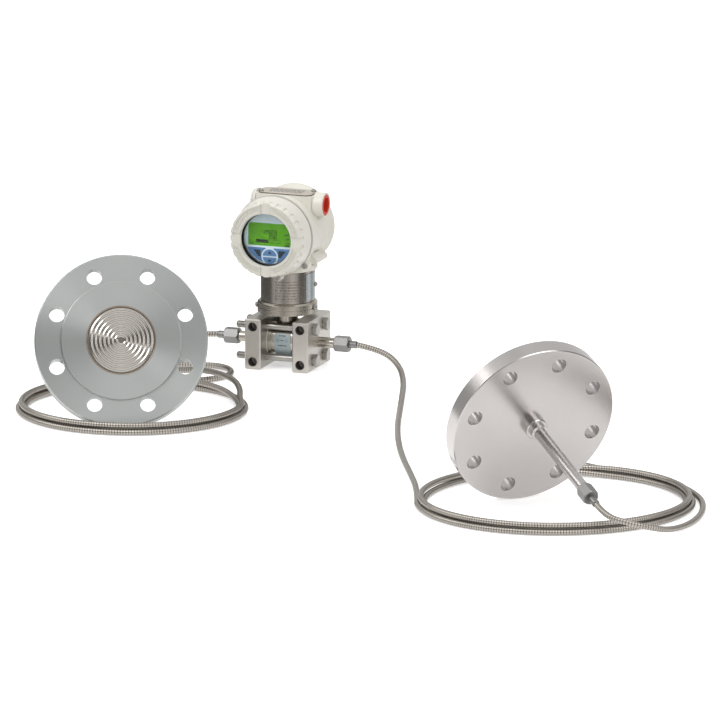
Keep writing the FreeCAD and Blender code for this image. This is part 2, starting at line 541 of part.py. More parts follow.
def housing():
    body = on_barrel(barrel_profile().revolve(ORIGIN, UP, 360))
    # the neck collar: a stepped round foot that runs up into the barrel
    lip = COLLAR_BOTTOM + COLLAR_LIP
    foot = lathe([(0, COLLAR_BOTTOM), (COLLAR_RADIUS - COLLAR_EDGE, COLLAR_BOTTOM),
                  (COLLAR_RADIUS, COLLAR_BOTTOM + COLLAR_EDGE), (COLLAR_RADIUS, lip),
                  (COLLAR_RADIUS - 1.4, lip + 1.6), (COLLAR_STEP_RADIUS, lip + 2.6),
                  (COLLAR_STEP_RADIUS, COLLAR_TOP), (0, COLLAR_TOP)])
    foot = foot.cut(box(-COLLAR_RADIUS, COLLAR_RADIUS, BARREL_REAR - 0.5, COLLAR_RADIUS + 1.0,
                        COLLAR_BOTTOM + 3.0, COLLAR_TOP + 1.0))
    # the cross block: two conduit bosses and the deck for the top plate
    bosses = [cylinder(BOSS_RADIUS, RIGHT_BOSS_REACH - DECK_LENGTH / 2 + BOSS_SUNK,
                       (DECK_LENGTH / 2 - BOSS_SUNK, 0, BOSS_HEIGHT), ALONG_X),
              cylinder(BOSS_RADIUS, LEFT_BOSS_REACH - DECK_LENGTH / 2 + BOSS_SUNK,
                       (-LEFT_BOSS_REACH, 0, BOSS_HEIGHT), ALONG_X)]
    deck = box(-DECK_LENGTH / 2, DECK_LENGTH / 2, -DECK_WIDTH / 2, DECK_WIDTH / 2,
               BARREL_HEIGHT, DECK_TOP)
    corners = [e for e in deck.Edges if abs(e.tangentAt(e.FirstParameter).z) > 0.99]
    deck = deck.makeFillet(DECK_CORNER, corners)
    tip = RIGHT_BOSS_REACH - GUSSET_INSET
    gusset = Part.Face(polygon([(GUSSET_START, 0, BARREL_HEIGHT), (GUSSET_START, 0, BOSS_HEIGHT),
                                (tip, 0, BOSS_HEIGHT), (tip, 0, BOSS_HEIGHT - BOSS_RADIUS + 1.0)]))
    gusset = gusset.extrude(vec(0, GUSSET_THICKNESS, 0))
    gusset.translate(vec(0, -GUSSET_THICKNESS / 2, 0))
    # the rear foot: a flat lug under the rear flange
    lug = box(-FOOT_WIDTH, FOOT_WIDTH, BARREL_REAR - FOOT_LENGTH, BARREL_REAR - FOOT_INSET,
              COLLAR_BOTTOM + FOOT_RISE, BARREL_HEIGHT - FOOT_TOP_DROP)
    upright = [e for e in lug.Edges if abs(e.tangentAt(e.FirstParameter).z) > 0.99]
    lug = lug.makeFillet(FOOT_CORNER, upright)
    lock_bosses = []
    for x, drop in LOCK_PLACES:
        lock_bosses += lock_boss(x, drop, BARREL_FRONT, LOCK_BOSS_LENGTH)
    rear_x, rear_drop = REAR_LOCK_PLACE
    lock_bosses += lock_boss(rear_x, rear_drop, BARREL_REAR - REAR_LOCK_LENGTH, REAR_LOCK_LENGTH)
    body = body.fuse([foot, deck, gusset, lug] + bosses + lock_bosses).removeSplitter()

    cuts = [
        cylinder(COVER_THREAD_RADIUS + RUN_CLEARANCE, COVER_THREAD_LENGTH + 1.0,
                 (0, BARREL_FRONT, BARREL_HEIGHT), ALONG_Y),
        cylinder(FRONT_CAVITY_RADIUS, FRONT_CAVITY_FLOOR - BARREL_FRONT,
                 (0, BARREL_FRONT, BARREL_HEIGHT), ALONG_Y),
        cylinder(REAR_THREAD_RADIUS + RUN_CLEARANCE, COVER_THREAD_LENGTH + 1.0,
                 (0, BARREL_REAR, BARREL_HEIGHT), -ALONG_Y),
        cylinder(REAR_CAVITY_RADIUS, BARREL_REAR - REAR_CAVITY_FLOOR,
                 (0, BARREL_REAR, BARREL_HEIGHT), -ALONG_Y),
        cylinder(SPIGOT_RADIUS + RUN_CLEARANCE, SPIGOT_HEIGHT + SEAT_GAP,
                 (0, 0, COLLAR_BOTTOM), UP),
    ]
    for side, reach in ((-1, LEFT_BOSS_REACH), (1, RIGHT_BOSS_REACH)):
        mouth = (side * reach, 0, BOSS_HEIGHT)
        cuts.append(cylinder(BOSS_BORE_RADIUS, BOSS_BORE_LENGTH, mouth, ALONG_X * -side))
    cuts.append(cylinder(BOSS_RIM_RADIUS, BOSS_RIM_DEPTH, (RIGHT_BOSS_REACH, 0, BOSS_HEIGHT), -ALONG_X))
    lock_hole = LOCK_BOSS_LENGTH - LOCK_HOLE_END
    for x, drop in LOCK_PLACES:
        cuts.append(cylinder(LOCK_SCREW_RADIUS + THREAD_CLEARANCE, lock_hole,
                             (x, BARREL_FRONT, BARREL_HEIGHT + drop), ALONG_Y))
    cuts.append(cylinder(LOCK_SCREW_RADIUS + THREAD_CLEARANCE, lock_hole,
                         (rear_x, BARREL_REAR, BARREL_HEIGHT + rear_drop), -ALONG_Y))
    for x, y in BUTTON_PLACES:
        cuts.append(cylinder(BUTTON_RADIUS + RUN_CLEARANCE, BUTTON_LENGTH + BUTTON_TRAVEL + SEAT_GAP,
                             (x, y, DECK_TOP), -UP))
    for sign in (-1, 1):
        cuts.append(cylinder(NAMEPLATE_SCREW_RADIUS + THREAD_CLEARANCE, NAMEPLATE_SCREW_DEPTH,
                             (sign * NAMEPLATE_SCREW_X, sign * NAMEPLATE_SCREW_Y, DECK_TOP), -UP))
    return body.cut(cuts)


def lock_screw(x, y, drop, outward):
    shank = LOCK_BOSS_LENGTH - LOCK_HOLE_END - 1.0
    shape = lathe([(0, -shank), (LOCK_SCREW_RADIUS, -shank), (LOCK_SCREW_RADIUS, 0),
                   (LOCK_SCREW_HEAD_RADIUS, 0), (LOCK_SCREW_HEAD_RADIUS, LOCK_SCREW_HEAD - 0.4),
                   (LOCK_SCREW_HEAD_RADIUS - 0.4, LOCK_SCREW_HEAD), (0, LOCK_SCREW_HEAD)])
    socket = hex_prism(LOCK_SOCKET, 1.6)
    socket.translate(vec(0, 0, LOCK_SCREW_HEAD - 1.2))
    return place(shape.cut(socket), vec(x, y, BARREL_HEIGHT + drop), outward)


def electronics_module():
    """Potted electronics that fills the front cavity and carries the display."""
    length = DISPLAY_BACK - FRONT_CAVITY_FLOOR
    return cylinder(ELECTRONICS_RADIUS, -length, (0, DISPLAY_BACK, BARREL_HEIGHT), ALONG_Y)


def terminal_block():
    """Round block with a trough across it and three clamp posts in the trough."""
    length, floor = TERMINAL_LENGTH, TERMINAL_LENGTH - TROUGH_DEPTH
    body = cylinder(REAR_CAVITY_RADIUS - TERMINAL_CLEARANCE, length, (0, 0, 0), UP)
    body = body.cut(box(-TROUGH_LENGTH / 2, TROUGH_LENGTH / 2, TROUGH_MIDDLE - TROUGH_WIDTH / 2,
                        TROUGH_MIDDLE + TROUGH_WIDTH / 2, floor, length))
    for x in (-POST_SPACING, 0.0, POST_SPACING):
        body = body.fuse(cylinder(POST_RADIUS, POST_HEIGHT, (x, TROUGH_MIDDLE, floor), UP))
    return place(body, vec(0, REAR_CAVITY_FLOOR, BARREL_HEIGHT), ALONG_Y)


# ---------------------------------------------------------------- display and keys
def from_display(shape):
    """Shapes drawn as seen from the front: X right, Y up, Z out of the display face."""
    turn = FreeCAD.Placement(vec(0, DISPLAY_FRONT, BARREL_HEIGHT), FreeCAD.Rotation(ALONG_X, 90))
    return placed(shape, turn)


def lcd_outline(clearance, depth, thickness):
    half = LCD_WIDTH / 2 - clearance
    tall = LCD_HEIGHT / 2 - clearance
    block = box(-half, half, LCD_RISE - tall, LCD_RISE + tall, -depth, -depth + thickness)
    depth_each_way = DISPLAY_RADIUS / 2
    inside = cylinder(DISPLAY_RADIUS - DISPLAY_EDGE - clearance, 2 * depth_each_way,
                      (0, 0, -depth_each_way), UP)
    return block.common(inside)


def key_shape(name, clearance, z0, z1):
    """Outline of one key between two depths; clearance shrinks it on every side."""
    pad = cylinder(PAD_RADIUS - clearance, z1 - z0, (0, -PAD_DROP, z0), UP)
    split = PAD_SPLIT / 2 + clearance
    if name == "up":
        return pad.common(box(-DISPLAY_RADIUS, DISPLAY_RADIUS, -PAD_DROP + split, 0, z0, z1))
    if name == "down":
        return pad.common(box(-DISPLAY_RADIUS, DISPLAY_RADIUS, -2 * PAD_DROP, -PAD_DROP - split, z0, z1))
    inside = cylinder(DISPLAY_RADIUS - DISPLAY_EDGE - clearance, z1 - z0, (0, 0, z0), UP)
    pad_hole = cylinder(PAD_RADIUS + PAD_OUTLINE + clearance, z1 - z0, (0, -PAD_DROP, z0), UP)
    near = SIDE_KEY_NEAR + clearance
    far = 2 * DISPLAY_RADIUS
    field = box(near, far, -far, KEY_TOP - clearance, z0, z1)
    if name == "left":
        field = box(-far, -near, -far, KEY_TOP - clearance, z0, z1)
    return inside.common(field).cut(pad_hole)


def display_module():
    body = cylinder(DISPLAY_RADIUS, DISPLAY_BACK - DISPLAY_FRONT, (0, 0, DISPLAY_FRONT - DISPLAY_BACK), UP)
    cuts = [lcd_outline(0.0, LCD_POCKET, LCD_POCKET + 1.0)]
    for name in ("left", "right", "up", "down"):
        cuts.append(key_shape(name, 0.0, -KEY_STEM - 1.0, 1.0))
    return from_display(body.cut(cuts))


def display_key(name):
    return from_display(key_shape(name, RUN_CLEARANCE, -KEY_STEM + 0.2, KEY_PROUD))


# ---------------------------------------------------------------- covers
def cover_slots(shape, nose, radius, depth, inner):
    """Cut the tightening slots across a cover's front ring; built about Z with the nose facing -Z."""
    for k in range(COVER_SLOTS):
        slot = box(inner, radius, -COVER_SLOT_WIDTH / 2, COVER_SLOT_WIDTH / 2, nose, nose + depth)
        slot.rotate(ORIGIN, UP, 360.0 / COVER_SLOTS * k)
        shape = shape.cut(slot)
    return shape


def front_cover():
    """Window cover, built about Z with Z standing for Y."""
    back, nose = COVER_BACK, COVER_NOSE
    glass_back = GLASS_FRONT + GLASS_THICKNESS
    seat = glass_back + RETAINER_THICKNESS + SEAT_GAP
    profile = [
        (COVER_RADIUS - 0.8, back), (COVER_RADIUS, back - 0.8), (COVER_RADIUS, back - 6.0),
        (COVER_RADIUS - 1.2, back - 14.0), (COVER_NOSE_RADIUS + 1.6, nose + 2.0), (COVER_NOSE_RADIUS, nose),
        (COVER_BAND_OUTER, nose), (COVER_BAND_OUTER, nose + COVER_BAND_DEPTH),
        (COVER_BAND_INNER, nose + COVER_BAND_DEPTH), (COVER_BAND_INNER, nose),
        (WINDOW_RADIUS + WINDOW_BEVEL / 2, nose), (WINDOW_RADIUS, nose + WINDOW_BEVEL),
        (WINDOW_RADIUS, GLASS_FRONT), (GLASS_RADIUS + THREAD_CLEARANCE, GLASS_FRONT),
        (GLASS_RADIUS + THREAD_CLEARANCE, seat), (COVER_INNER_RADIUS, seat + 1.5),
        (COVER_INNER_RADIUS, back + COVER_THREAD_LENGTH), (COVER_THREAD_RADIUS, back + COVER_THREAD_LENGTH),
        (COVER_THREAD_RADIUS, back),
    ]
    body = lathe(profile)
    body = cover_slots(body, nose, COVER_RADIUS, COVER_SLOT_DEPTH, 0.0)
    scallops = []
    for k in range(COVER_SCALLOPS):
        angle = 360.0 / COVER_SCALLOPS * (k + 0.5)
        mouth = (COVER_NOSE_RADIUS + COVER_SCALLOP_RADIUS, 0, nose - 1.0)
        cutter = cylinder(COVER_SCALLOP_RADIUS, COVER_SCALLOP_LENGTH, mouth, vec(COVER_SCALLOP_SLOPE, 0, 1))
        cutter.rotate(ORIGIN, UP, angle)
        scallops.append(cutter)
    return on_barrel(body.cut(scallops))


def window_glass():
    disc = cylinder(GLASS_RADIUS, GLASS_THICKNESS, (0, 0, GLASS_FRONT), UP)
    return on_barrel(disc)


def glass_retainer():
    z0 = GLASS_FRONT + GLASS_THICKNESS
    return on_barrel(ring(GLASS_RADIUS - RETAINER_WIDTH, GLASS_RADIUS, z0, z0 + RETAINER_THICKNESS))


def o_ring(thread_radius, outer, cover_face, side):
    """Flat O-ring in the joint, carried on the cover's skirt; side is the way from cover to housing."""
    inner = thread_radius + THREAD_CLEARANCE
    z0 = cover_face
    z1 = cover_face + side * (COVER_JOINT_GAP - SEAT_GAP)
    return on_barrel(ring(inner, outer - O_RING_INSET, min(z0, z1), max(z0, z1)))


def rear_cover():
    back, nose = REAR_COVER_BACK, REAR_COVER_BACK + REAR_COVER_LENGTH
    inner = REAR_THREAD_RADIUS - 3.0
    profile = [
        (0, nose), (REAR_COVER_NOSE_RADIUS - 9.0, nose), (REAR_COVER_NOSE_RADIUS - 8.0, nose - 1.0),
        (REAR_COVER_NOSE_RADIUS - 3.0, nose - 1.0), (REAR_COVER_NOSE_RADIUS - 2.0, nose),
        (REAR_COVER_NOSE_RADIUS, nose), (REAR_COVER_RADIUS, nose - 3.0), (REAR_COVER_RADIUS, back),
        (REAR_THREAD_RADIUS, back), (REAR_THREAD_RADIUS, back - COVER_THREAD_LENGTH),
        (inner, back - COVER_THREAD_LENGTH), (inner, nose - REAR_COVER_WALL), (0, nose - REAR_COVER_WALL),
    ]
    body = lathe(profile)
    body = cover_slots(body, nose - COVER_SLOT_DEPTH, REAR_COVER_RADIUS + 1.0, COVER_SLOT_DEPTH,
                       REAR_COVER_NOSE_RADIUS - 12.0)
    return on_barrel(body)


# ---------------------------------------------------------------- top plate, buttons
def octagon(length, width, corner, thickness, z0):
    a, b, c = length / 2, width / 2, corner
    points = [(-a, -b + c, z0), (-a + c, -b, z0), (a - c, -b, z0), (a, -b + c, z0),
              (a, b - c, z0), (a - c, b, z0), (-a + c, b, z0), (-a, b - c, z0)]
    return Part.Face(polygon(points)).extrude(vec(0, 0, thickness))


def deck_gasket():
    gap = 1.0
    shape = octagon(NAMEPLATE_LENGTH - gap, NAMEPLATE_WIDTH - gap, NAMEPLATE_CORNER,
                    GASKET_THICKNESS, DECK_TOP)
    for sign in (-1, 1):
        shape = shape.cut(cylinder(NAMEPLATE_SCREW_RADIUS + THREAD_CLEARANCE, 2.0,
                                   (sign * NAMEPLATE_SCREW_X, sign * NAMEPLATE_SCREW_Y, DECK_TOP - 0.5), UP))
    for x, y in BUTTON_PLACES:
        shape = shape.cut(cylinder(BUTTON_RADIUS + SEAT_GAP, 2.0, (x, y, DECK_TOP - 0.5), UP))
    return shape


def nameplate():
    """Swings about its front left screw; the other screw leaves through an open notch."""
    shape = octagon(NAMEPLATE_LENGTH, NAMEPLATE_WIDTH, NAMEPLATE_CORNER, NAMEPLATE_THICKNESS,
                    NAMEPLATE_BOTTOM)
    hole = NAMEPLATE_SCREW_RADIUS + RUN_CLEARANCE
    pivot = cylinder(hole, 3.0, (-NAMEPLATE_SCREW_X, -NAMEPLATE_SCREW_Y, NAMEPLATE_BOTTOM - 1.0), UP)
    wide = NAMEPLATE_SCREW_RADIUS + SEAT_GAP
    front, back = NAMEPLATE_SCREW_Y - wide, NAMEPLATE_WIDTH / 2 + 1.0
    right, z0 = NAMEPLATE_SCREW_X + wide, NAMEPLATE_BOTTOM - 1.0
    left = NAMEPLATE_SCREW_X - wide
    notch = polygon([(left, front, z0), (right, front, z0), (right, back, z0), (left - 3.2, back, z0)])
    return shape.cut([pivot, Part.Face(notch).extrude(vec(0, 0, 3.0))])


def nameplate_screw(sign):
    depth = NAMEPLATE_SCREW_DEPTH - 1.0 + NAMEPLATE_TOP - DECK_TOP + RUN_CLEARANCE
    r, head, tall = NAMEPLATE_SCREW_RADIUS, NAMEPLATE_HEAD_RADIUS, NAMEPLATE_HEAD
    shape = lathe([(0, -depth), (r, -depth), (r, 0), (head, 0), (head, 0.5 * tall),
                   (0.6 * head, tall), (0, tall)])
    shape.translate(vec(sign * NAMEPLATE_SCREW_X, sign * NAMEPLATE_SCREW_Y, NAMEPLATE_TOP + RUN_CLEARANCE))
    return shape


def top_button(x, y):
    top = GASKET_TOP - BUTTON_SINK
    return cylinder(BUTTON_RADIUS, BUTTON_LENGTH, (x, y, top - BUTTON_LENGTH), UP)


# ---------------------------------------------------------------- conduit plugs
def conduit_plug():
    """Plastic cap pushed into the right conduit boss."""
    r = BOSS_BORE_RADIUS - RUN_CLEARANCE
    body = lathe([(0, -PLUG_LENGTH), (r - 1.0, -PLUG_LENGTH), (r, -PLUG_LENGTH + 1.0), (r, RUN_CLEARANCE),
                  (PLUG_FACE_RADIUS, RUN_CLEARANCE), (PLUG_FACE_RADIUS, PLUG_FACE - 0.5),
                  (PLUG_FACE_RADIUS - 0.5, PLUG_FACE), (PLUG_RECESS_RADIUS, PLUG_FACE),
                  (PLUG_RECESS_RADIUS - 0.6, PLUG_FACE - PLUG_RECESS_DEPTH),
                  (0, PLUG_FACE - PLUG_RECESS_DEPTH)])
    return place(body, vec(RIGHT_BOSS_REACH - BOSS_RIM_DEPTH, 0, BOSS_HEIGHT), ALONG_X)


def blind_plug():
    """Painted plug with a rounded head and a hexagon socket, screwed into the left conduit boss."""
    r = BOSS_BORE_RADIUS - RUN_CLEARANCE
    seat = BLIND_WASHER + 2 * RUN_CLEARANCE
    body = lathe([(0, -PLUG_LENGTH), (r - 1.0, -PLUG_LENGTH), (r, -PLUG_LENGTH + 1.0), (r, seat),
                  (BLIND_HEAD_RADIUS, seat), (BLIND_HEAD_RADIUS, seat + BLIND_HEAD - 2.0),
                  (BLIND_HEAD_RADIUS - 0.8, seat + BLIND_HEAD - 0.7),
                  (BLIND_HEAD_RADIUS - 2.4, seat + BLIND_HEAD), (0, seat + BLIND_HEAD)])
    socket = hex_prism(BLIND_HEX, BLIND_HEAD + 4.0)
    socket.translate(vec(0, 0, seat + 1.0))
    return place(body.cut(socket), vec(-LEFT_BOSS_REACH, 0, BOSS_HEIGHT), -ALONG_X)


def blind_washer():
    shape = ring(BOSS_BORE_RADIUS + RUN_CLEARANCE, BLIND_HEAD_RADIUS, RUN_CLEARANCE,
                 RUN_CLEARANCE + BLIND_WASHER)
    return place(shape, vec(-LEFT_BOSS_REACH, 0, BOSS_HEIGHT), -ALONG_X)


# ---------------------------------------------------------------- remote seals, built about Z
# Z = 0 is the back face, +Z runs along the stub and the process face looks along -Z.
def seal_flange():
    face = -SEAL_THICKNESS
    raised = face - RAISED_HEIGHT
    c = SEAL_CHAMFER
    body = lathe([(0, 0), (SEAL_RADIUS - c, 0), (SEAL_RADIUS, -c), (SEAL_RADIUS, face + c),
                  (SEAL_RADIUS - c, face), (RAISED_RADIUS, face), (RAISED_RADIUS, raised),
                  (DIAPHRAGM_RADIUS + THREAD_CLEARANCE, raised),
                  (DIAPHRAGM_RADIUS + THREAD_CLEARANCE, raised + DIAPHRAGM_SEAT),
                  (0, raised + DIAPHRAGM_SEAT)])
    holes = []
    for k in range(SEAL_BOLT_HOLES):
        angle = math.radians(360.0 / SEAL_BOLT_HOLES * (k + 0.5))
        holes.append(cylinder(SEAL_HOLE_RADIUS, SEAL_THICKNESS,
                              (SEAL_BOLT_CIRCLE * math.cos(angle), SEAL_BOLT_CIRCLE * math.sin(angle), face),
                              UP))
    return body.cut(holes)


def seal_diaphragm():
    """Corrugated membrane: round waves between a flat centre and a raised weld ring."""
    floor = -SEAL_THICKNESS - RAISED_HEIGHT + DIAPHRAGM_SEAT
    base = floor - DIAPHRAGM_THICKNESS
    edges = []
    at = vec(0, 0, base)

    def line_to(r, z):
        nonlocal at
        edges.append(Part.makeLine(at, vec(r, 0, z)))
        at = vec(r, 0, z)

    def wave_to(r, height):
        nonlocal at
        middle = vec((at.x + r) / 2, 0, base - height)
        edges.append(Part.Arc(at, middle, vec(r, 0, base)).toShape())
        at = vec(r, 0, base)

    line_to(CORRUGATION_INNER - CORRUGATION_PITCH / 2, base)
    for k in range(CORRUGATIONS):
        start = CORRUGATION_INNER + CORRUGATION_PITCH * (k - 0.5)
        wave_to(start + CORRUGATION_PITCH / 2, CORRUGATION_HEIGHT)
        line_to(start + CORRUGATION_PITCH, base)
    line_to(DIAPHRAGM_RADIUS - 8.0, base)
    wave_to(DIAPHRAGM_RADIUS - 5.0, CORRUGATION_HEIGHT * 0.6)
    line_to(DIAPHRAGM_RADIUS - 1.6, base)
    line_to(DIAPHRAGM_RADIUS, base + 0.3)
    line_to(DIAPHRAGM_RADIUS, floor)
    line_to(0, floor)
    line_to(0, base)
    return Part.Face(Part.Wire(edges)).revolve(ORIGIN, UP, 360)


def seal_hub():
    return lathe([(STUB_RADIUS + THREAD_CLEARANCE, 0), (HUB_RADIUS, 0), (HUB_RADIUS, HUB_HEIGHT - 1.0),
                  (HUB_RADIUS - 1.0, HUB_HEIGHT), (HUB_STEP_RADIUS, HUB_HEIGHT),
                  (HUB_STEP_RADIUS, HUB_HEIGHT + HUB_STEP_HEIGHT - 1.5),
                  (STUB_RADIUS + THREAD_CLEARANCE, HUB_HEIGHT + HUB_STEP_HEIGHT)])


def seal_stub():
    return cylinder(STUB_RADIUS, STUB_LENGTH, (0, 0, 0), UP)


def seal_nut():
    shape = hex_prism(UNION_HEX, SEAL_NUT_LENGTH, 30.0)
    shape.translate(vec(0, 0, STUB_LENGTH))
    return shape


def seal_sleeve():
    shape = sleeve(SEAL_SLEEVE_LENGTH)
    shape.translate(vec(0, 0, STUB_LENGTH + SEAL_NUT_LENGTH))
    return shape


def seal_placement(foot, heading):
    """Stand a seal on its back rim at foot, its stub pointing along heading and down by SEAL_LEAN."""
    lean, turn = math.radians(SEAL_LEAN), math.radians(heading)
    flat = row_point(math.cos(turn), math.sin(turn))
    axis = flat * math.cos(lean) - UP * math.sin(lean)
    rim = SEAL_RADIUS * math.cos(lean) - SEAL_CHAMFER * min(math.cos(lean), math.sin(lean))
    centre = row_point(*foot) + flat * (SEAL_RADIUS * math.sin(lean)) + UP * rim
    across = UP.cross(axis)
    across.normalize()
    upward = axis.cross(across)
    matrix = FreeCAD.Matrix(across.x, upward.x, axis.x, centre.x,
                            across.y, upward.y, axis.y, centre.y,
                            across.z, upward.z, axis.z, centre.z,
                            0, 0, 0, 1)
    return FreeCAD.Placement(matrix)


# ---------------------------------------------------------------- armoured capillaries
def armour_tube(name, points):
    """Round tube along straight runs joined by tangent arcs; prints its tightest arcs."""
    edges, radii = [], []
    start = points[0]
    for before, corner, after in zip(points, points[1:], points[2:]):
        back, ahead = before - corner, after - corner
        run = min(back.Length, ahead.Length)
        half_turn = (math.pi - back.getAngle(ahead)) / 2
        back.normalize()
        ahead.normalize()
        trim = 0.45 * run
        radius = trim / math.tan(half_turn)
        inward = back + ahead
        inward.normalize()
        first, last = corner + back * trim, corner + ahead * trim
        middle = corner + inward * (radius / math.cos(half_turn) - radius)
        edges.append(Part.makeLine(start, first))
        edges.append(Part.Arc(first, middle, last).toShape())
        radii.append(radius)
        start = last
    edges.append(Part.makeLine(start, points[-1]))
    path = Part.Wire(edges)
    section = Part.Wire(Part.makeCircle(ARMOUR_RADIUS, points[0], points[1] - points[0]))
    tube = path.makePipeShell([section], True, False)
    expected = math.pi * ARMOUR_RADIUS ** 2 * path.Length
    print(name, "length %.0f" % path.Length, "smallest radii", [round(r) for r in sorted(radii)[:4]],
          "volume ratio %.4f" % (tube.Volume / expected))
    return tube


def route(points):
    return [row_point(*p) for p in points]


def coil(centre, radius):
    """Closed ring of the outer shape of the strands, lying on the floor."""
    half, height, c = COIL_STRANDS_WIDTH / 2, COIL_HEIGHT, 2.5
    shape = lathe([(radius - half, 0), (radius + half, 0), (radius + half, height - 2 * c),
                   (radius + half - 2 * c, height), (radius - half + 2 * c, height),
                   (radius - half, height - 2 * c)])
    shape.translate(row_point(*centre))
    return shape


# ---------------------------------------------------------------- build everything
def build_transmitter():
    for side, name in ((-1, "left"), (1, "right")):
        save("process_flange_" + name, process_flange(side))
        save("adapter_" + name, adapter(side))
        save("union_nut_" + name, union_nut(side))
        save("crimp_sleeve_" + name, crimp_sleeve(side))
    save("flange_bolts", [flange_bolt(y, z) for y, z in FLANGE_BOLTS])
    save("sensor_cell", sensor_cell())
    save("cell_gaskets", [cell_gasket(side) for side in (-1, 1)])
    save("cell_label", cell_label())
    save("neck_base", neck_base())
    save("neck_base_screws", [neck_base_screw(angle) for angle in BASE_SCREW_ANGLES])
    save("neck_body", neck_body())
    save("tag_plate", tag_plate())
    save("tag_plate_screw", tag_plate_screw())


def build_head():
    save("housing", housing())
    screws = [lock_screw(x, BARREL_FRONT, drop, -ALONG_Y) for x, drop in LOCK_PLACES]
    rear_x, rear_drop = REAR_LOCK_PLACE
    screws.append(lock_screw(rear_x, BARREL_REAR, rear_drop, ALONG_Y))
    save("cover_lock_screws", screws)
    save("electronics_module", electronics_module())
    save("terminal_block", terminal_block())
    save("display_module", display_module())
    save("lcd_panel", from_display(lcd_outline(RUN_CLEARANCE, LCD_POCKET, LCD_THICKNESS)))
    for name in ("left", "right", "up", "down"):
        save("key_" + name, display_key(name))
    save("front_cover", front_cover())
    save("window_glass", window_glass())
    save("glass_retainer", glass_retainer())
    save("front_o_ring", o_ring(COVER_THREAD_RADIUS, COVER_RADIUS, COVER_BACK, 1))
    save("rear_cover", rear_cover())
    save("rear_o_ring", o_ring(REAR_THREAD_RADIUS, REAR_COVER_RADIUS, REAR_COVER_BACK, -1))
    save("deck_gasket", deck_gasket())
    save("nameplate", nameplate())
    save("nameplate_screws", [nameplate_screw(sign) for sign in (-1, 1)])
    for k, (x, y) in enumerate(BUTTON_PLACES):
        save("top_button_%d" % (k + 1), top_button(x, y))
    save("conduit_plug", conduit_plug())
    save("blind_plug", blind_plug())
    save("blind_plug_washer", blind_washer())


def build_seals():
    pieces = {"flange": seal_flange(), "diaphragm": seal_diaphragm(), "hub": seal_hub(),
              "stub": seal_stub(), "nut": seal_nut(), "sleeve": seal_sleeve()}
    layout = {"left": (LEFT_FOOT, LEFT_HEADING, 0.0), "right": (RIGHT_FOOT, RIGHT_HEADING, RIGHT_SPIN)}
    ends = {}
    for name, (foot, heading, spin) in layout.items():
        where = seal_placement(foot, heading).multiply(FreeCAD.Placement(ORIGIN, FreeCAD.Rotation(UP, spin)))
        for piece, shape in pieces.items():
            save("seal_%s_%s" % (piece, name), placed(shape, where))
        ends[name] = where.multVec(vec(0, 0, STUB_LENGTH + SEAL_NUT_LENGTH + SEAL_SLEEVE_LENGTH))
    return ends


def build_capillaries(seal_ends):
    reach = PLATE_OUTER + ADAPTER_LENGTH + UNION_LENGTH + SLEEVE_LENGTH
    for side, name, lead, tail in ((-1, "left", LEFT_LEAD, LEFT_TAIL), (1, "right", RIGHT_LEAD, RIGHT_TAIL)):
        start = vec(side * reach, 0, CELL_AXIS)
        save("capillary_lead_" + name, armour_tube("lead " + name, [start] + route(lead)))
        save("capillary_tail_" + name, armour_tube("tail " + name, route(tail) + [seal_ends[name]]))
    save("capillary_coil_left", coil(LEFT_COIL_CENTRE, LEFT_COIL_RADIUS))
    save("capillary_coil_right", coil(RIGHT_COIL_CENTRE, RIGHT_COIL_RADIUS))


build_transmitter()
build_head()
build_capillaries(build_seals())
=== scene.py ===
# %% [markdown]
# # Differential pressure transmitter with remote seals
# The object is a transmitter head on a steel sensor, with two armoured capillaries that lie in coils and
# end in flanged diaphragm seals. The imported model gives every rigid piece its exact shape, so this
# lesson is mostly about finishes, about the armour that is wound along a route, and about the small
# things that are too fine for a solid model: a display with a painted glow, key symbols and screw crosses.

# %% Load the frame
import json
import math

import bmesh
import bpy
from mathutils import Matrix, Vector


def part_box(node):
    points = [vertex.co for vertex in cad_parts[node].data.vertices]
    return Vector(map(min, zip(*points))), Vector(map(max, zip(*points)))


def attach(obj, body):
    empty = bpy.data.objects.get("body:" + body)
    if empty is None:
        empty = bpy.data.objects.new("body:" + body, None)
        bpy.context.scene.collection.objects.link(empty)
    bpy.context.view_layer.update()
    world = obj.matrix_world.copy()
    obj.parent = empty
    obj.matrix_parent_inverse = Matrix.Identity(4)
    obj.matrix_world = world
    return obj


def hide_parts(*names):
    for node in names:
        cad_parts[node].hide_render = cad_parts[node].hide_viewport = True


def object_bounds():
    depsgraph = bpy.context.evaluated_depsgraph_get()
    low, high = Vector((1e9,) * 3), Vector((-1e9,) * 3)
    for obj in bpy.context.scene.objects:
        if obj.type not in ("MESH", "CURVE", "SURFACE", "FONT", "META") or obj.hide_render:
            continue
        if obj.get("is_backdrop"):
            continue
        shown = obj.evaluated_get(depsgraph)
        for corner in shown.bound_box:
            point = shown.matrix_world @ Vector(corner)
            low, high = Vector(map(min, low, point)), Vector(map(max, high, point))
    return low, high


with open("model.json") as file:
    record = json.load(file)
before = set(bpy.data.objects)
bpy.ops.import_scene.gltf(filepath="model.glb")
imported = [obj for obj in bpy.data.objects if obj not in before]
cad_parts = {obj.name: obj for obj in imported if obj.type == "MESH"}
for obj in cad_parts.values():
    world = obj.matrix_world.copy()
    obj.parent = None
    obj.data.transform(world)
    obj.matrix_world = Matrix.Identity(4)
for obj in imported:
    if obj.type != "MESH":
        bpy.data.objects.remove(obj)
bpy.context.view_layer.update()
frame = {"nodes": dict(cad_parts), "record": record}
nodes = frame["nodes"]
mounts = {m["name"]: m for m in frame["record"]["mounts"]}
MM = 0.001

# %% [markdown]
# ## Where things are
# The coils are laid out on the floor as the viewer sees them: U runs to the right and T towards the
# viewer. That layout is turned 20 degrees from the transmitter's own X axis, so one small function turns
# layout millimetres into metres in the frame.

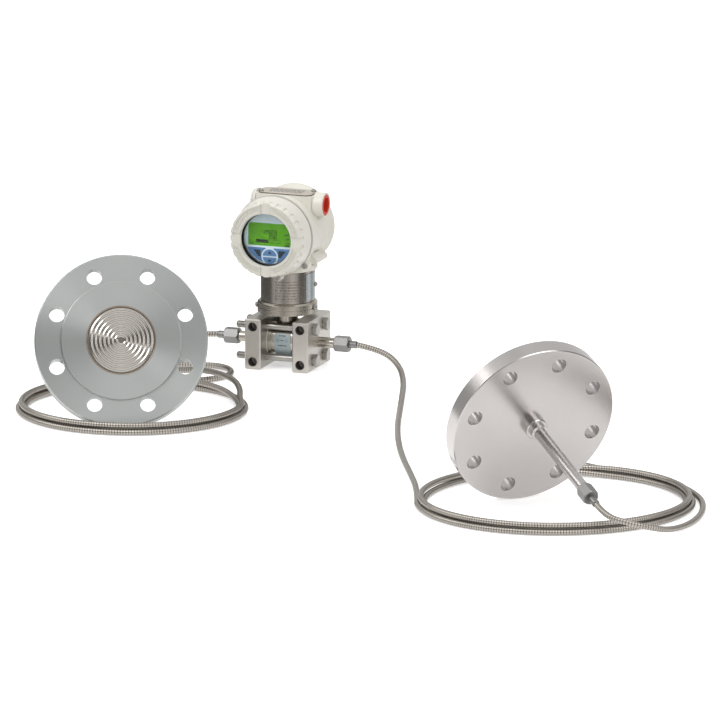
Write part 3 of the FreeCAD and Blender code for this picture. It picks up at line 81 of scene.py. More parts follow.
# %% Layout to frame
LAYOUT_TURN = math.radians(20.0)


def at(u, t, z=3.5):
    x = math.cos(LAYOUT_TURN) * u + math.sin(LAYOUT_TURN) * t
    y = math.sin(LAYOUT_TURN) * u - math.cos(LAYOUT_TURN) * t
    return Vector((x, y, z)) * MM


def place_object(name, data):
    """A new object with this data, in the scene."""
    made = bpy.data.objects.new(name, data)
    bpy.context.scene.collection.objects.link(made)
    return made


BARREL_AXIS = (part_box("window_glass")[0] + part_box("window_glass")[1]).z / 2
print("barrel axis height", round(BARREL_AXIS, 4))

# %% [markdown]
# ## Camera
# A long lens from far away keeps parallel edges almost parallel, as in a catalogue picture. The camera
# looks down by 12.5 degrees from slightly right of the display's own axis.

# %% Camera
CAMERA_DISTANCE = 34.88
CAMERA_LENS = 1500.0
CAMERA_AZIMUTH = math.radians(20.0)
CAMERA_ELEVATION = math.radians(12.5)
LOOK_AT = Vector((0.0708, 0.0513, 0.0))

back = Vector((math.sin(CAMERA_AZIMUTH) * math.cos(CAMERA_ELEVATION),
               -math.cos(CAMERA_AZIMUTH) * math.cos(CAMERA_ELEVATION),
               math.sin(CAMERA_ELEVATION)))
camera = place_object("camera", bpy.data.cameras.new("camera"))
camera.data.lens = CAMERA_LENS
camera.data.sensor_width = 36.0
camera.data.clip_start, camera.data.clip_end = 1.0, 100.0
camera.location = LOOK_AT + back * CAMERA_DISTANCE
camera.rotation_mode = "QUATERNION"
camera.rotation_quaternion = (-back).to_track_quat("-Z", "Y")
bpy.context.scene.camera = camera
print("camera at", [round(v, 2) for v in camera.location])

# %% [markdown]
# ## The capillary routes
# A remote seal's capillary is a thin oil-filled tube inside a spiral-wound steel armour, stiff enough to
# lie in wide loops. Each one is a single smooth line: from the sensor down to the floor, around the coil
# nearly three times, and out again to the stub of its seal. The loose stretches are listed points, and a
# point without a height lies on the floor. The turns come from a loop: the first turn lies outside, the
# second inside it, and the third rides on top of both.

# %% Route of a coil
ARMOUR_RADIUS = 3.5
STRAND_STEP = 7.3
TOP_LAYER = 10.7
POINTS_PER_TURN = 18
CROSSING = 40.0
TOP_TURN_DELAY = 25.0


def ease(x):
    x = min(max(x, 0.0), 1.0)
    return x * x * (3 - 2 * x)


def coil_turns(centre, radius, start, end, shift, rise):
    """Points of the turns from angle start to end; a strand moves in at shift and up at rise."""
    step = 360.0 / POINTS_PER_TURN
    swell = 1 / (0.75 + 0.25 * math.cos(math.radians(step)))
    points = []
    for k in range(int((end - start) / step) + 1):
        angle = start + k * step
        inward = ease((angle - shift) / CROSSING)
        up = ease((angle - rise) / CROSSING)
        outward = ease((angle - rise - TOP_TURN_DELAY) / CROSSING)
        across = STRAND_STEP / 2 - STRAND_STEP * inward + STRAND_STEP / 2 * outward
        r = (radius + across) * swell
        a = math.radians(angle)
        points.append((centre[0] + r * math.cos(a), centre[1] - r * math.sin(a),
                       ARMOUR_RADIUS + (TOP_LAYER - ARMOUR_RADIUS) * up))
    return points


# %% Loose stretches
LEFT_LEAD = ((-116.0, -42.0, 27.5), (-158.0, -58.0, 16.0), (-199.0, -70.0, 5.0), (-233.0, -53.0),
             (-240.0, -16.0), (-217.0, 13.0), (-155.0, 18.0), (-90.0, 15.0), (-65.5, 38.0), (-65.5, 72.0),
             (-89.0, 97.0), (-134.0, 106.0), (-171.0, 113.6))
LEFT_TAIL = ((-55.0, 222.0, 10.6), (-54.0, 188.0, 11.2), (-60.0, 150.0, 14.4), (-79.0, 113.0, 15.0),
             (-102.0, 82.0, 12.0), (-132.0, 62.0, 6.5), (-166.0, 60.0, 7.5), (-193.0, 86.0, 17.5),
             (-193.5, 119.0, 20.9))
RIGHT_LEAD = ((110.0, 41.0, 26.0), (130.0, 68.0, 14.0), (135.0, 112.0, 4.5), (133.0, 180.0), (130.0, 260.0),
              (127.0, 345.0), (128.0, 430.0), (133.0, 510.0), (141.0, 585.0), (147.6, 652.0),
              (149.4, 717.0))
RIGHT_TAIL = ((323.0, 586.0, 9.5), (289.0, 585.0, 5.5), (252.0, 581.5), (229.0, 547.5), (244.0, 507.5),
              (286.0, 498.5), (331.0, 537.5), (371.0, 576.5), (406.0, 603.0), (450.0, 652.0),
              (472.0, 714.6), (475.0, 765.0), (470.0, 812.0), (456.0, 856.0), (434.0, 890.0, 5.0),
              (411.0, 908.5, 12.5), (386.0, 912.5, 19.0), (362.3, 899.0, 23.5))
LEFT_TURNS = coil_turns((-179.0, 245.8), 127.4, 112.0, 1074.0, 400.0, 720.0)
RIGHT_TURNS = coil_turns((306.0, 738.0), 153.0, 188.0, 1160.0, 480.0, 790.0)
print("turn points", len(LEFT_TURNS), len(RIGHT_TURNS))

# %% [markdown]
# A sleeve's outer end is where its armour starts. Its place comes from the nodes: the ring
# of points farthest along the sleeve's axis.

# %% Sleeve ends


def sleeve_end(node, axis):
    """Centre of the flat end of a round node that is farthest along axis."""
    axis = Vector(axis).normalized()
    points = [v.co for v in nodes[node].data.vertices]
    reach = max(p.dot(axis) for p in points)
    rim = [p for p in points if p.dot(axis) > reach - 0.0001]
    low = Vector([min(p[i] for p in rim) for i in range(3)])
    high = Vector([max(p[i] for p in rim) for i in range(3)])
    return (low + high) / 2


def seal_axis(side):
    """Direction of the seal's stub, away from its process face."""
    return -Vector(mounts[side + "_seal_bolts"]["axis"]).normalized()


lead_starts = {"left": sleeve_end("crimp_sleeve_left", (-1, 0, 0)),
               "right": sleeve_end("crimp_sleeve_right", (1, 0, 0))}
tail_ends = {side: sleeve_end("seal_sleeve_" + side, seal_axis(side)) for side in ("left", "right")}
for side in ("left", "right"):
    print(side, "tail end", [round(v, 4) for v in tail_ends[side]])

# %% Smooth lines from the routes


def smooth_line(name, points):
    """The points of a NURBS spline with these control points, as a plain list."""
    curve = bpy.data.curves.new(name, "CURVE")
    curve.dimensions = "3D"
    spline = curve.splines.new("NURBS")
    spline.points.add(len(points) - 1)
    for target, point in zip(spline.points, points):
        target.co = (*point, 1.0)
    spline.order_u = 3
    spline.use_endpoint_u = True
    spline.resolution_u = 12
    holder = place_object(name, curve)
    bpy.context.view_layer.update()
    evaluated = holder.evaluated_get(bpy.context.evaluated_depsgraph_get())
    mesh = bpy.data.meshes.new_from_object(evaluated)
    line = [v.co.copy() for v in mesh.vertices]
    bpy.data.objects.remove(holder)
    bpy.data.meshes.remove(mesh)
    return line


def length_of(line):
    return sum((b - a).length for a, b in zip(line, line[1:]))


lines = {}
for side, lead, turns, tail in (("left", LEFT_LEAD, LEFT_TURNS, LEFT_TAIL),
                                ("right", RIGHT_LEAD, RIGHT_TURNS, RIGHT_TAIL)):
    route = [lead_starts[side]] + [at(*p) for p in (*lead, *turns, *tail)] + [tail_ends[side]]
    lines[side] = smooth_line("route_" + side, route)
    print(side, "capillary", round(length_of(lines[side]), 3), "m")

# %% [markdown]
# ## Small node helpers
# Every finish below is a few nodes. These helpers add a node, join sockets and start a material, so that
# each material reads as a short recipe.

# %% Node helpers


def hex_colour(text):
    """sRGB text such as D8D4C8 as a linear colour."""
    channels = [int(text[i:i + 2], 16) / 255 for i in (0, 2, 4)]
    linear = [c / 12.92 if c < 0.04045 else ((c + 0.055) / 1.055) ** 2.4 for c in channels]
    return (*linear, 1.0)


def add(tree, kind, **settings):
    node = tree.nodes.new(kind)
    for key, value in settings.items():
        setattr(node, key, value)
    return node


def link(tree, start, end):
    tree.links.new(start, end)


def feed(tree, node, inputs):
    """Give each named or numbered input its value or link; returns the node's first output."""
    for label, value in inputs.items():
        if hasattr(value, "is_linked"):
            link(tree, value, node.inputs[label])
        else:
            node.inputs[label].default_value = value
    return node.outputs[0]


def made(tree, kind, inputs, **settings):
    """First output of a new node with these inputs."""
    return feed(tree, add(tree, kind, **settings), inputs)


def math_node(tree, operation, *values):
    return made(tree, "ShaderNodeMath", dict(enumerate(values)), operation=operation)


def new_group(name, inputs, outputs):
    """Inputs are (name, kind, default), outputs (name, kind); returns the group and both sets of sockets."""
    group = bpy.data.node_groups.new(name, "ShaderNodeTree")
    for label, kind, default in inputs:
        socket = group.interface.new_socket(label, in_out="INPUT", socket_type="NodeSocket" + kind)
        if default is not None:
            socket.default_value = default
    for label, kind in outputs:
        group.interface.new_socket(label, in_out="OUTPUT", socket_type="NodeSocket" + kind)
    print("group", name)
    return group, add(group, "NodeGroupInput").outputs, add(group, "NodeGroupOutput").inputs


def use_group(tree, group, **values):
    node = add(tree, "ShaderNodeGroup", node_tree=group)
    feed(tree, node, values)
    return node.outputs


def new_material(name, **sockets):
    material = bpy.data.materials.new(name)
    material.use_nodes = True
    tree = material.node_tree
    shader = tree.nodes["Principled BSDF"]
    for label, value in sockets.items():
        shader.inputs[label.replace("_", " ")].default_value = value
    coordinates = add(tree, "ShaderNodeTexCoord").outputs["Object"]
    return material, tree, shader, coordinates


def bump(tree, height, distance, strength=1.0, normal=None):
    node = add(tree, "ShaderNodeBump")
    feed(tree, node, {"Distance": distance, "Strength": strength, "Height": height})
    if normal is not None:
        link(tree, normal, node.inputs["Normal"])
    return node.outputs["Normal"]


def mix(tree, amount, under, over):
    """The colour under, with the hex colour over laid on it by amount."""
    node = add(tree, "ShaderNodeMix", data_type="RGBA")
    feed(tree, node, {0: amount, 6: under, 7: hex_colour(over)})
    return node.outputs[2]


def noise(tree, vector, scale, detail):
    return made(tree, "ShaderNodeTexNoise", {"Vector": vector, "Scale": scale, "Detail": detail})


def vector_math(tree, operation, *values):
    node = add(tree, "ShaderNodeVectorMath", operation=operation)
    feed(tree, node, dict(enumerate(values)))
    return node.outputs["Value" if operation in ("LENGTH", "DOT_PRODUCT") else "Vector"]


print("helpers ready")

# %% [markdown]
# ## Shared effects
# Five groups serve the metals, paint and plastics: a tone that drifts over a surface, the orange-peel skin
# of powder paint, brushing in one direction, the fine rings that a lathe leaves, and rows of etched marks.
# A group only makes numbers, colours and normals, and each material decides how strongly it uses them.

# %% Drift of tone
tone_drift, gin, gout = new_group(
    "tone_drift",
    [("Vector", "Vector", None), ("Colour", "Color", (0.8, 0.8, 0.8, 1)), ("Scale", "Float", 30.0),
     ("Amount", "Float", 0.1)],
    [("Colour", "Color")])
drift = noise(tone_drift, gin["Vector"], gin["Scale"], 4.0)
darker = add(tone_drift, "ShaderNodeMix", data_type="RGBA", blend_type="MULTIPLY")
feed(tone_drift, darker, {0: math_node(tone_drift, "MULTIPLY", drift, gin["Amount"]),
                          6: gin["Colour"], 7: (0.0, 0.0, 0.0, 1.0)})
link(tone_drift, darker.outputs[2], gout["Colour"])


def toned(tree, where, colour, scale, amount):
    """Colour output of the drift group."""
    return use_group(tree, tone_drift, Vector=where, Colour=hex_colour(colour), Scale=scale,
                     Amount=amount)["Colour"]

# %% Powder paint skin
paint_skin, gin, gout = new_group(
    "paint_skin", [("Vector", "Vector", None), ("Scale", "Float", 900.0)], [("Height", "Float")])
link(paint_skin, noise(paint_skin, gin["Vector"], gin["Scale"], 2.0), gout["Height"])

# %% Brushing along one direction
brushing, gin, gout = new_group(
    "brushing",
    [("Vector", "Vector", None), ("Stretch", "Vector", (1.0, 1.0, 0.02)), ("Scale", "Float", 2500.0)],
    [("Height", "Float")])
stretched = vector_math(brushing, "MULTIPLY", gin["Vector"], gin["Stretch"])
link(brushing, noise(brushing, stretched, gin["Scale"], 3.0), gout["Height"])

# %% Lathe rings round the local Z axis
lathe_rings, gin, gout = new_group(
    "lathe_rings", [("Vector", "Vector", None), ("Fineness", "Float", 2600.0)],
    [("Height", "Float"), ("Radius", "Float")])
flat = vector_math(lathe_rings, "MULTIPLY", gin["Vector"], (1.0, 1.0, 0.0))
radius = vector_math(lathe_rings, "LENGTH", flat)
grooves = made(lathe_rings, "ShaderNodeTexNoise", {"Detail": 2.0, "W": radius, "Scale": gin["Fineness"]},
               noise_dimensions="1D")
link(lathe_rings, grooves, gout["Height"])
link(lathe_rings, radius, gout["Radius"])

# %% Rows of etched marks round a vertical axis
ROW_SHUFFLE = 7.3
ROW_FILL = 0.52
etched_rows, gin, gout = new_group(
    "etched_rows",
    [("Vector", "Vector", None), ("Rows", "Float", 300.0), ("Marks", "Float", 26.0), ("Low", "Float", 0.0),
     ("High", "Float", 0.1), ("From", "Float", -1.6), ("To", "Float", -0.5)],
    [("Mask", "Float")])
parts = add(etched_rows, "ShaderNodeSeparateXYZ")
link(etched_rows, gin["Vector"], parts.inputs[0])
angle = math_node(etched_rows, "ARCTAN2", parts.outputs[1], parts.outputs[0])
height = parts.outputs[2]
row = math_node(etched_rows, "MULTIPLY", height, gin["Rows"])
column = math_node(etched_rows, "MULTIPLY", angle, gin["Marks"])
shuffled = math_node(etched_rows, "MULTIPLY", math_node(etched_rows, "FLOOR", row), ROW_SHUFFLE)
spot = made(etched_rows, "ShaderNodeCombineXYZ", {0: column, 1: shuffled})
marked = math_node(etched_rows, "GREATER_THAN", noise(etched_rows, spot, 2.2, 3.0), 0.5)
for value, operation, limit in ((math_node(etched_rows, "FRACT", row), "LESS_THAN", ROW_FILL),
                                (height, "GREATER_THAN", gin["Low"]),
                                (height, "LESS_THAN", gin["High"]),
                                (angle, "GREATER_THAN", gin["From"]),
                                (angle, "LESS_THAN", gin["To"])):
    marked = math_node(etched_rows, "MULTIPLY", marked, math_node(etched_rows, operation, value, limit))
link(etched_rows, marked, gout["Mask"])

# %% [markdown]
# ## Paint and metals
# The head is die-cast aluminium under an off-white powder coat: matt, with a faint skin and softened
# edges. The wetted parts are stainless steel in three states: milled blocks, turned rounds and polished
# fittings. A Bevel node rounds the normals at sharp edges, which is what makes a machined edge catch
# the light.

# %% Finish of painted castings


def soft_edges(tree, radius):
    node = add(tree, "ShaderNodeBevel", samples=6)
    node.inputs["Radius"].default_value = radius
    return node.outputs["Normal"]


def relief(tree, shader, height, depth, strength, edge):
    """Raise the surface by height over softened edges."""
    link(tree, bump(tree, height, depth, strength, soft_edges(tree, edge)), shader.inputs["Normal"])


def painted_casting(name, colour, edge):
    material, tree, shader, where = new_material(name, Roughness=0.42, Coat_Weight=0.15, Coat_Roughness=0.3)
    link(tree, toned(tree, where, colour, 25.0, 0.05), shader.inputs["Base Color"])
    skin = use_group(tree, paint_skin, Vector=where, Scale=1100.0)
    relief(tree, shader, skin["Height"], 0.00006, 0.6, edge)
    return material


GRAIN_ROUGHNESS = 0.16
GRAIN_DEPTH = 0.00003


def steel(name, colour, roughness, stretch, scale=2500.0, edge=0.0004):
    """Milled or brushed steel; the stretch vector is small along the brushing."""
    material, tree, shader, where = new_material(name, Metallic=1.0)
    link(tree, toned(tree, where, colour, 40.0, 0.12), shader.inputs["Base Color"])
    grain = use_group(tree, brushing, Vector=where, Stretch=stretch, Scale=scale)
    rough = math_node(tree, "MULTIPLY", grain["Height"], GRAIN_ROUGHNESS)
    link(tree, math_node(tree, "ADD", rough, roughness - GRAIN_ROUGHNESS / 2), shader.inputs["Roughness"])
    relief(tree, shader, grain["Height"], GRAIN_DEPTH, 0.7, edge)
    return material


cast_paint = painted_casting("cast_housing_paint", "DEDBD1", 0.0008)
block_steel = steel("milled_block_steel", "BDB9B2", 0.36, (1.0, 1.0, 0.03), 1800.0)
cell_steel = steel("turned_cell_steel", "B3ADA4", 0.20, (1.0, 0.03, 0.03), 2600.0)
base_steel = steel("turned_base_steel", "A59F94", 0.24, (0.03, 0.03, 1.0), 2600.0)
plate_steel = steel("plate_strip_steel", "A9AFB0", 0.26, (0.03, 0.03, 1.0), 2600.0)
name_steel = steel("name_plate_steel", "D2CABD", 0.38, (0.03, 1.0, 1.0), 2600.0)
bolt_steel = steel("bolt_steel", "A8A5A0", 0.34, (0.4, 0.4, 0.4), 1500.0, edge=0.0005)
fitting_steel = steel("fitting_steel", "8A8988", 0.42, (0.03, 1.0, 1.0), 1500.0, edge=0.0008)
tube_steel = steel("drawn_tube_steel", "B5AFA6", 0.18, (0.03, 1.0, 1.0), 1500.0)
print("paint and steels made")

# %% [markdown]
# The neck carries a long block of laser-etched data on the real product. Here it is only rows of short
# strokes: a mask cut into rows, broken up by noise, that stains and roughens the steel a little.

# %% Etched neck
neck_steel, tree, shader, where = new_material("etched_neck_steel", Metallic=1.0)
tone = toned(tree, where, "A8A29A", 40.0, 0.12)
etched = use_group(tree, etched_rows, Vector=where, Rows=300.0, Marks=26.0, Low=0.0812, High=0.1052,
                   From=-1.70, To=-0.56)
stain = math_node(tree, "MULTIPLY", etched["Mask"], 0.62)
link(tree, mix(tree, stain, tone, "5A4238"), shader.inputs["Base Color"])
grain = use_group(tree, brushing, Vector=where, Stretch=(0.03, 0.03, 1.0), Scale=2600.0)
rough = math_node(tree, "ADD", math_node(tree, "MULTIPLY", grain["Height"], 0.14), 0.13)
link(tree, math_node(tree, "ADD", rough, math_node(tree, "MULTIPLY", etched["Mask"], 0.2)),
     shader.inputs["Roughness"])
relief(tree, shader, grain["Height"], GRAIN_DEPTH, 0.7, 0.0005)
print("made", neck_steel.name)

# %% [markdown]
# The seal flanges are turned. Their rings run round the seal's own axis, which leans, so a Mapping node
# first brings each seal upright and to the centre, and the ring group then only needs the distance from
# the axis. Fine rings spread a reflection across themselves, which draws the bright fans that a turned
# face shows.

# %% Turned steel about a tilted axis


def axis_matrix(origin, axis):
    """Rotation and shift that bring origin to the middle and axis to +Z."""
    turn = Vector(axis).rotation_difference(Vector((0, 0, 1))).to_matrix()
    return turn, -(turn @ Vector(origin))


WELD_RADIUS = 0.0393
WELD_WIDTH = 0.0012
WELD_DEPTH = 0.006
WELD_TINT = 0.55
RING_ROUGHNESS = 0.14
TANGENT_REACH = 0.3


def turned_steel(name, colour, roughness, origin, axis, spread, fineness=2600.0, depth=0.00002,
                 edge=0.0006):
    """Lathe-turned steel; reflections stretch across the rings, away from the seal's axis."""
    material, tree, shader, where = new_material(name, Metallic=1.0, Anisotropic=spread)
    turn, shift = axis_matrix(origin, axis)
    upright = made(tree, "ShaderNodeMapping", {"Rotation": turn.to_euler(), "Location": shift,
                                               "Vector": where}, vector_type="POINT")
    rings = use_group(tree, lathe_rings, Vector=upright, Fineness=fineness)
    tone = toned(tree, upright, colour, 18.0, 0.10)
    off_weld = math_node(tree, "ABSOLUTE", math_node(tree, "SUBTRACT", rings["Radius"], WELD_RADIUS))
    along = add(tree, "ShaderNodeSeparateXYZ")
    link(tree, upright, along.inputs[0])
    weld = math_node(tree, "MULTIPLY", math_node(tree, "LESS_THAN", off_weld, WELD_WIDTH),
                     math_node(tree, "LESS_THAN", along.outputs[2], WELD_DEPTH))
    tint = math_node(tree, "MULTIPLY", weld, WELD_TINT)
    link(tree, mix(tree, tint, tone, "8A6A48"), shader.inputs["Base Color"])
    rough = math_node(tree, "MULTIPLY", rings["Height"], RING_ROUGHNESS)
    link(tree, math_node(tree, "ADD", rough, roughness - RING_ROUGHNESS / 2), shader.inputs["Roughness"])
    relief(tree, shader, rings["Height"], depth, 0.6, edge)
    behind = Vector(origin) + Vector(axis).normalized() * TANGENT_REACH
    link(tree, vector_math(tree, "SUBTRACT", where, behind), shader.inputs["Tangent"])
    return material


# Both seals are the same turned steel: their base colours differ by side as painted light, the right one
# lighter and warmer, the left cooler.
SEAL_SIDES = {"left": ("B8BBB9", 0.32, 0.85), "right": ("C0BCBA", 0.24, 0.3)}
seal_steel, membrane_steel, floor_centres = {}, {}, {}
for side, (colour, roughness, spread) in SEAL_SIDES.items():
    axis = seal_axis(side)
    floor_centres[side] = sleeve_end("seal_diaphragm_" + side, axis)
    seal_steel[side] = turned_steel("turned_seal_steel_" + side, colour, roughness, floor_centres[side],
                                    axis, spread)
    membrane_steel[side] = turned_steel("membrane_steel_" + side, "A29E98", 0.2, floor_centres[side], axis,
                                        0.0, 5000.0, 0.000005, 0.0002)
print("turned steels made")

# %% [markdown]
# ## Plastics, rubber, glass and the screen's painted glow

# %% Simple finishes with grain


def moulded(name, colour, roughness, grain=0.00004):
    material, tree, shader, where = new_material(name, Roughness=roughness)
    link(tree, toned(tree, where, colour, 60.0, 0.08), shader.inputs["Base Color"])
    skin = use_group(tree, paint_skin, Vector=where, Scale=1500.0)
    relief(tree, shader, skin["Height"], grain, 0.5, 0.0003)
    return material


bezel_plastic = moulded("bezel_plastic", "BFCDD6", 0.30)
key_plastic = moulded("key_plastic", "4C6F9C", 0.45)
# Dark print on keys, label and plate; the same dark also paints shade into the screw crosses.
print_and_painted_shade = moulded("print_and_painted_shade", "1B2530", 0.5)
potting = moulded("potting", "202124", 0.6)
terminal_plastic = moulded("terminal_plastic", "28333D", 0.5)
red_plastic = moulded("red_cap_plastic", "D23B20", 0.42)
button_plastic = moulded("button_plastic", "33508A", 0.45)
black_rubber = moulded("black_rubber", "17181A", 0.65, 0.00008)
white_gasket = moulded("gasket_plastic", "D9D8D2", 0.6)
label_film = moulded("label_film", "AFBCC0", 0.32)
# Painted shade: thread crests inside the tapped holes get this dark grey for the shade in the holes.
thread_painted_shade = moulded("thread_shade", "4A4742", 0.45)
print("plastics made")

# %% Glass
window_glass = new_material("window_glass", Base_Color=(0.98, 1.0, 0.99, 1.0), Roughness=0.0, IOR=1.1,
                            Transmission_Weight=1.0)[0]
print("made", window_glass.name)

# %% Screen with a painted glow
# Painted light: the screen's green layer is given a faint glow of its own.
screen, tree, shader, where = new_material("screen_painted_glow", Roughness=0.25, Emission_Strength=0.12)
tone = toned(tree, where, "4C8A08", 12.0, 0.12)
link(tree, tone, shader.inputs["Base Color"])
link(tree, tone, shader.inputs["Emission Color"])
segment_ink = moulded("segment_ink", "15240A", 0.4)
print("made", screen.name)

# %% [markdown]
# ## Dress the nodes
# Each node keeps its shape and gets its finish by a rule on its name, longest match first.

# %% Finishes by node name
FINISHES = {
    "housing": cast_paint, "front_cover": cast_paint, "rear_cover": cast_paint,
    "process_flange": block_steel, "flange_bolts": bolt_steel, "sensor_cell": cell_steel,
    "cell_gaskets": white_gasket, "cell_label": label_film, "neck_base": base_steel,
    "neck_base_screws": bolt_steel, "neck_body": neck_steel, "tag_plate": plate_steel,
    "tag_plate_screw": bolt_steel, "adapter": tube_steel, "union_nut": fitting_steel,
    "crimp_sleeve": fitting_steel, "cover_lock_screws": bolt_steel, "electronics_module": potting,
    "terminal_block": terminal_plastic, "display_module": bezel_plastic, "lcd_panel": screen,
    "key_": key_plastic, "window_glass": window_glass, "glass_retainer": bolt_steel,
    "front_o_ring": black_rubber, "rear_o_ring": black_rubber, "deck_gasket": black_rubber,
    "nameplate": name_steel, "nameplate_screws": bolt_steel, "top_button": button_plastic,
    "conduit_plug": red_plastic, "blind_plug": cast_paint, "blind_plug_washer": white_gasket,
    "capillary": fitting_steel, "seal_nut": fitting_steel, "seal_sleeve": fitting_steel,
}
for side in ("left", "right"):
    for piece in ("flange", "hub", "stub"):
        FINISHES["seal_%s_%s" % (piece, side)] = seal_steel[side]
    FINISHES["seal_diaphragm_" + side] = membrane_steel[side]


def finish_of(name):
    for prefix in sorted(FINISHES, key=len, reverse=True):
        if name.startswith(prefix):
            return FINISHES[prefix]
    raise ValueError("no finish for " + name)


for name, node in nodes.items():
    node.data.materials.clear()
    node.data.materials.append(finish_of(name))
nodes["window_glass"].visible_shadow = False
print("dressed", len(nodes), "nodes")

# %% [markdown]
# ## The armour
# The armour is a steel strip wound into rings about three millimetres apart. Geometry Nodes suit it: a
# curve is cut into four samples per ring, every fourth sample is pinched in, and a round profile is swept
# along it. Each pinched sample is marked on the mesh, so the material can paint shade into the grooves.

# %% Start and end of a Geometry Nodes tree
SAMPLES_PER_RING = 4


def start_tree(name, inputs):
    """A tree with these (name, kind) inputs and one geometry output; returns it and its input sockets."""
    tree = bpy.data.node_groups.new(name, "GeometryNodeTree")
    for label, kind in inputs:
        tree.interface.new_socket(label, in_out="INPUT", socket_type="NodeSocket" + kind)
    tree.interface.new_socket("Result", in_out="OUTPUT", socket_type="NodeSocketGeometry")
    return tree, add(tree, "NodeGroupInput").outputs


def end_tree(tree, geometry, finish):
    """Make the geometry real, give it its finish and hand it out."""
    real = made(tree, "GeometryNodeRealizeInstances", {0: geometry})
    painted = made(tree, "GeometryNodeSetMaterial", {"Geometry": real, "Material": finish})
    link(tree, painted, add(tree, "NodeGroupOutput").inputs[0])


print("tree helpers ready")

# %% Armour tree


def make_armour_tree():
    tree, given = start_tree("wound_armour", (("Line", "Geometry"), ("Radius", "Float"), ("Pinch", "Float"),
                                              ("Samples", "Int"), ("Sides", "Int"), ("Finish", "Material")))
    curve = made(tree, "GeometryNodeMeshToCurve", {0: given["Line"]})
    cut = made(tree, "GeometryNodeResampleCurve", {"Curve": curve, "Count": given["Samples"]})
    index = add(tree, "GeometryNodeInputIndex").outputs[0]
    phase = math_node(tree, "MODULO", index, SAMPLES_PER_RING)
    groove = math_node(tree, "LESS_THAN", phase, 0.5)
    pinched = math_node(tree, "MULTIPLY", groove, given["Pinch"])
    size = math_node(tree, "SUBTRACT", given["Radius"], pinched)
    sized = made(tree, "GeometryNodeSetCurveRadius", {"Curve": cut, "Radius": size})
    marked = made(tree, "GeometryNodeStoreNamedAttribute",
                  {"Name": "groove", "Geometry": sized, "Value": groove}, data_type="FLOAT", domain="POINT")
    profile = made(tree, "GeometryNodeCurvePrimitiveCircle", {"Radius": 1.0, "Resolution": given["Sides"]})
    tube = add(tree, "GeometryNodeCurveToMesh")
    feed(tree, tube, {"Fill Caps": True, "Curve": marked, "Profile Curve": profile})
    if "Scale" in tube.inputs:
        link(tree, size, tube.inputs["Scale"])
    smooth = made(tree, "GeometryNodeSetShadeSmooth", {"Geometry": tube.outputs[0]})
    end_tree(tree, smooth, given["Finish"])
    return tree


def run_tree(name, mesh, tree, values):
    """Run a Geometry Nodes tree on a mesh and keep the result as a plain mesh object."""
    holder = place_object(name + "_line", mesh)
    modifier = holder.modifiers.new("nodes", "NODES")
    modifier.node_group = tree
    for item in tree.interface.items_tree:
        if item.in_out == "INPUT" and item.name in values:
            modifier[item.identifier] = values[item.name]
    bpy.context.view_layer.update()
    evaluated = holder.evaluated_get(bpy.context.evaluated_depsgraph_get())
    result = bpy.data.meshes.new_from_object(evaluated)
    result.name = name
    holder.modifiers.remove(modifier)
    bpy.data.objects.remove(holder)
    return place_object(name, result)


armour_tree = make_armour_tree()
print("tree", armour_tree.name, "with", len(armour_tree.nodes), "nodes")

# %% Armour finish
armour_steel, tree, shader, where = new_material("wound_armour_steel", Metallic=1.0, Roughness=0.32)
tone = toned(tree, where, "B2ACA4", 60.0, 0.15)
groove = add(tree, "ShaderNodeAttribute", attribute_name="groove")
# Painted shade: the marked grooves between the rings are darkened towards a dark grey.
depth = math_node(tree, "MULTIPLY", groove.outputs["Fac"], 0.95)
link(tree, mix(tree, depth, tone, "3A3733"), shader.inputs["Base Color"])
print("made", armour_steel.name)

RING_PITCH = 3.2 * MM
RING_PINCH = 0.75 * MM
ARMOUR_SIDES = 12


def edge_mesh(name, line):
    mesh = bpy.data.meshes.new(name)
    mesh.from_pydata(line, [(i, i + 1) for i in range(len(line) - 1)], [])
    return mesh


for side in ("left", "right"):
    line = lines[side]
    rings = round(length_of(line) / RING_PITCH)
    piece = run_tree("capillary_" + side, edge_mesh("line_" + side, line), armour_tree,
                     {"Radius": ARMOUR_RADIUS * MM, "Pinch": RING_PINCH, "Sides": ARMOUR_SIDES,
                      "Samples": rings * SAMPLES_PER_RING + 1, "Finish": armour_steel})
    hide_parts("capillary_lead_" + side, "capillary_coil_" + side, "capillary_tail_" + side)
    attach(piece, "base")
    print(piece.name, rings, "rings", len(piece.data.polygons), "faces")

# %% [markdown]
# ## Small repeated details
# Screw crosses, thread crests, display segments and raised marks are all one shape set down many times. One
# Geometry Nodes tree does it: it reads a turn and a size that are stored on each point, puts the shape
# there, makes the copies real and gives them a finish.

# %% Repeating tree


def make_repeat_tree():
    tree, given = start_tree("repeat_shape", (("Points", "Geometry"), ("Shape", "Object"),
                                              ("Finish", "Material")))
    shape = add(tree, "GeometryNodeObjectInfo")
    link(tree, given["Shape"], shape.inputs["Object"])
    turn, size = (made(tree, "GeometryNodeInputNamedAttribute", {"Name": label}, data_type="FLOAT_VECTOR")
                  for label in ("turn", "size"))
    rotation = made(tree, "FunctionNodeEulerToRotation", {0: turn})
    copies = made(tree, "GeometryNodeInstanceOnPoints",
                  {"Points": given["Points"], "Instance": shape.outputs["Geometry"],
                   "Rotation": rotation, "Scale": size})
    end_tree(tree, copies, given["Finish"])
    return tree


repeat_tree = make_repeat_tree()
print("tree", repeat_tree.name, "with", len(repeat_tree.nodes), "nodes")

# %% Shapes to repeat


def closed_mesh(name, points, faces):
    """A mesh whose normals all point outwards."""
    mesh = bpy.data.meshes.new(name)
    mesh.from_pydata(points, [], faces)
    build = bmesh.new()
    build.from_mesh(mesh)
    bmesh.ops.recalc_face_normals(build, faces=build.faces)
    build.to_mesh(mesh)
    build.free()
    return mesh


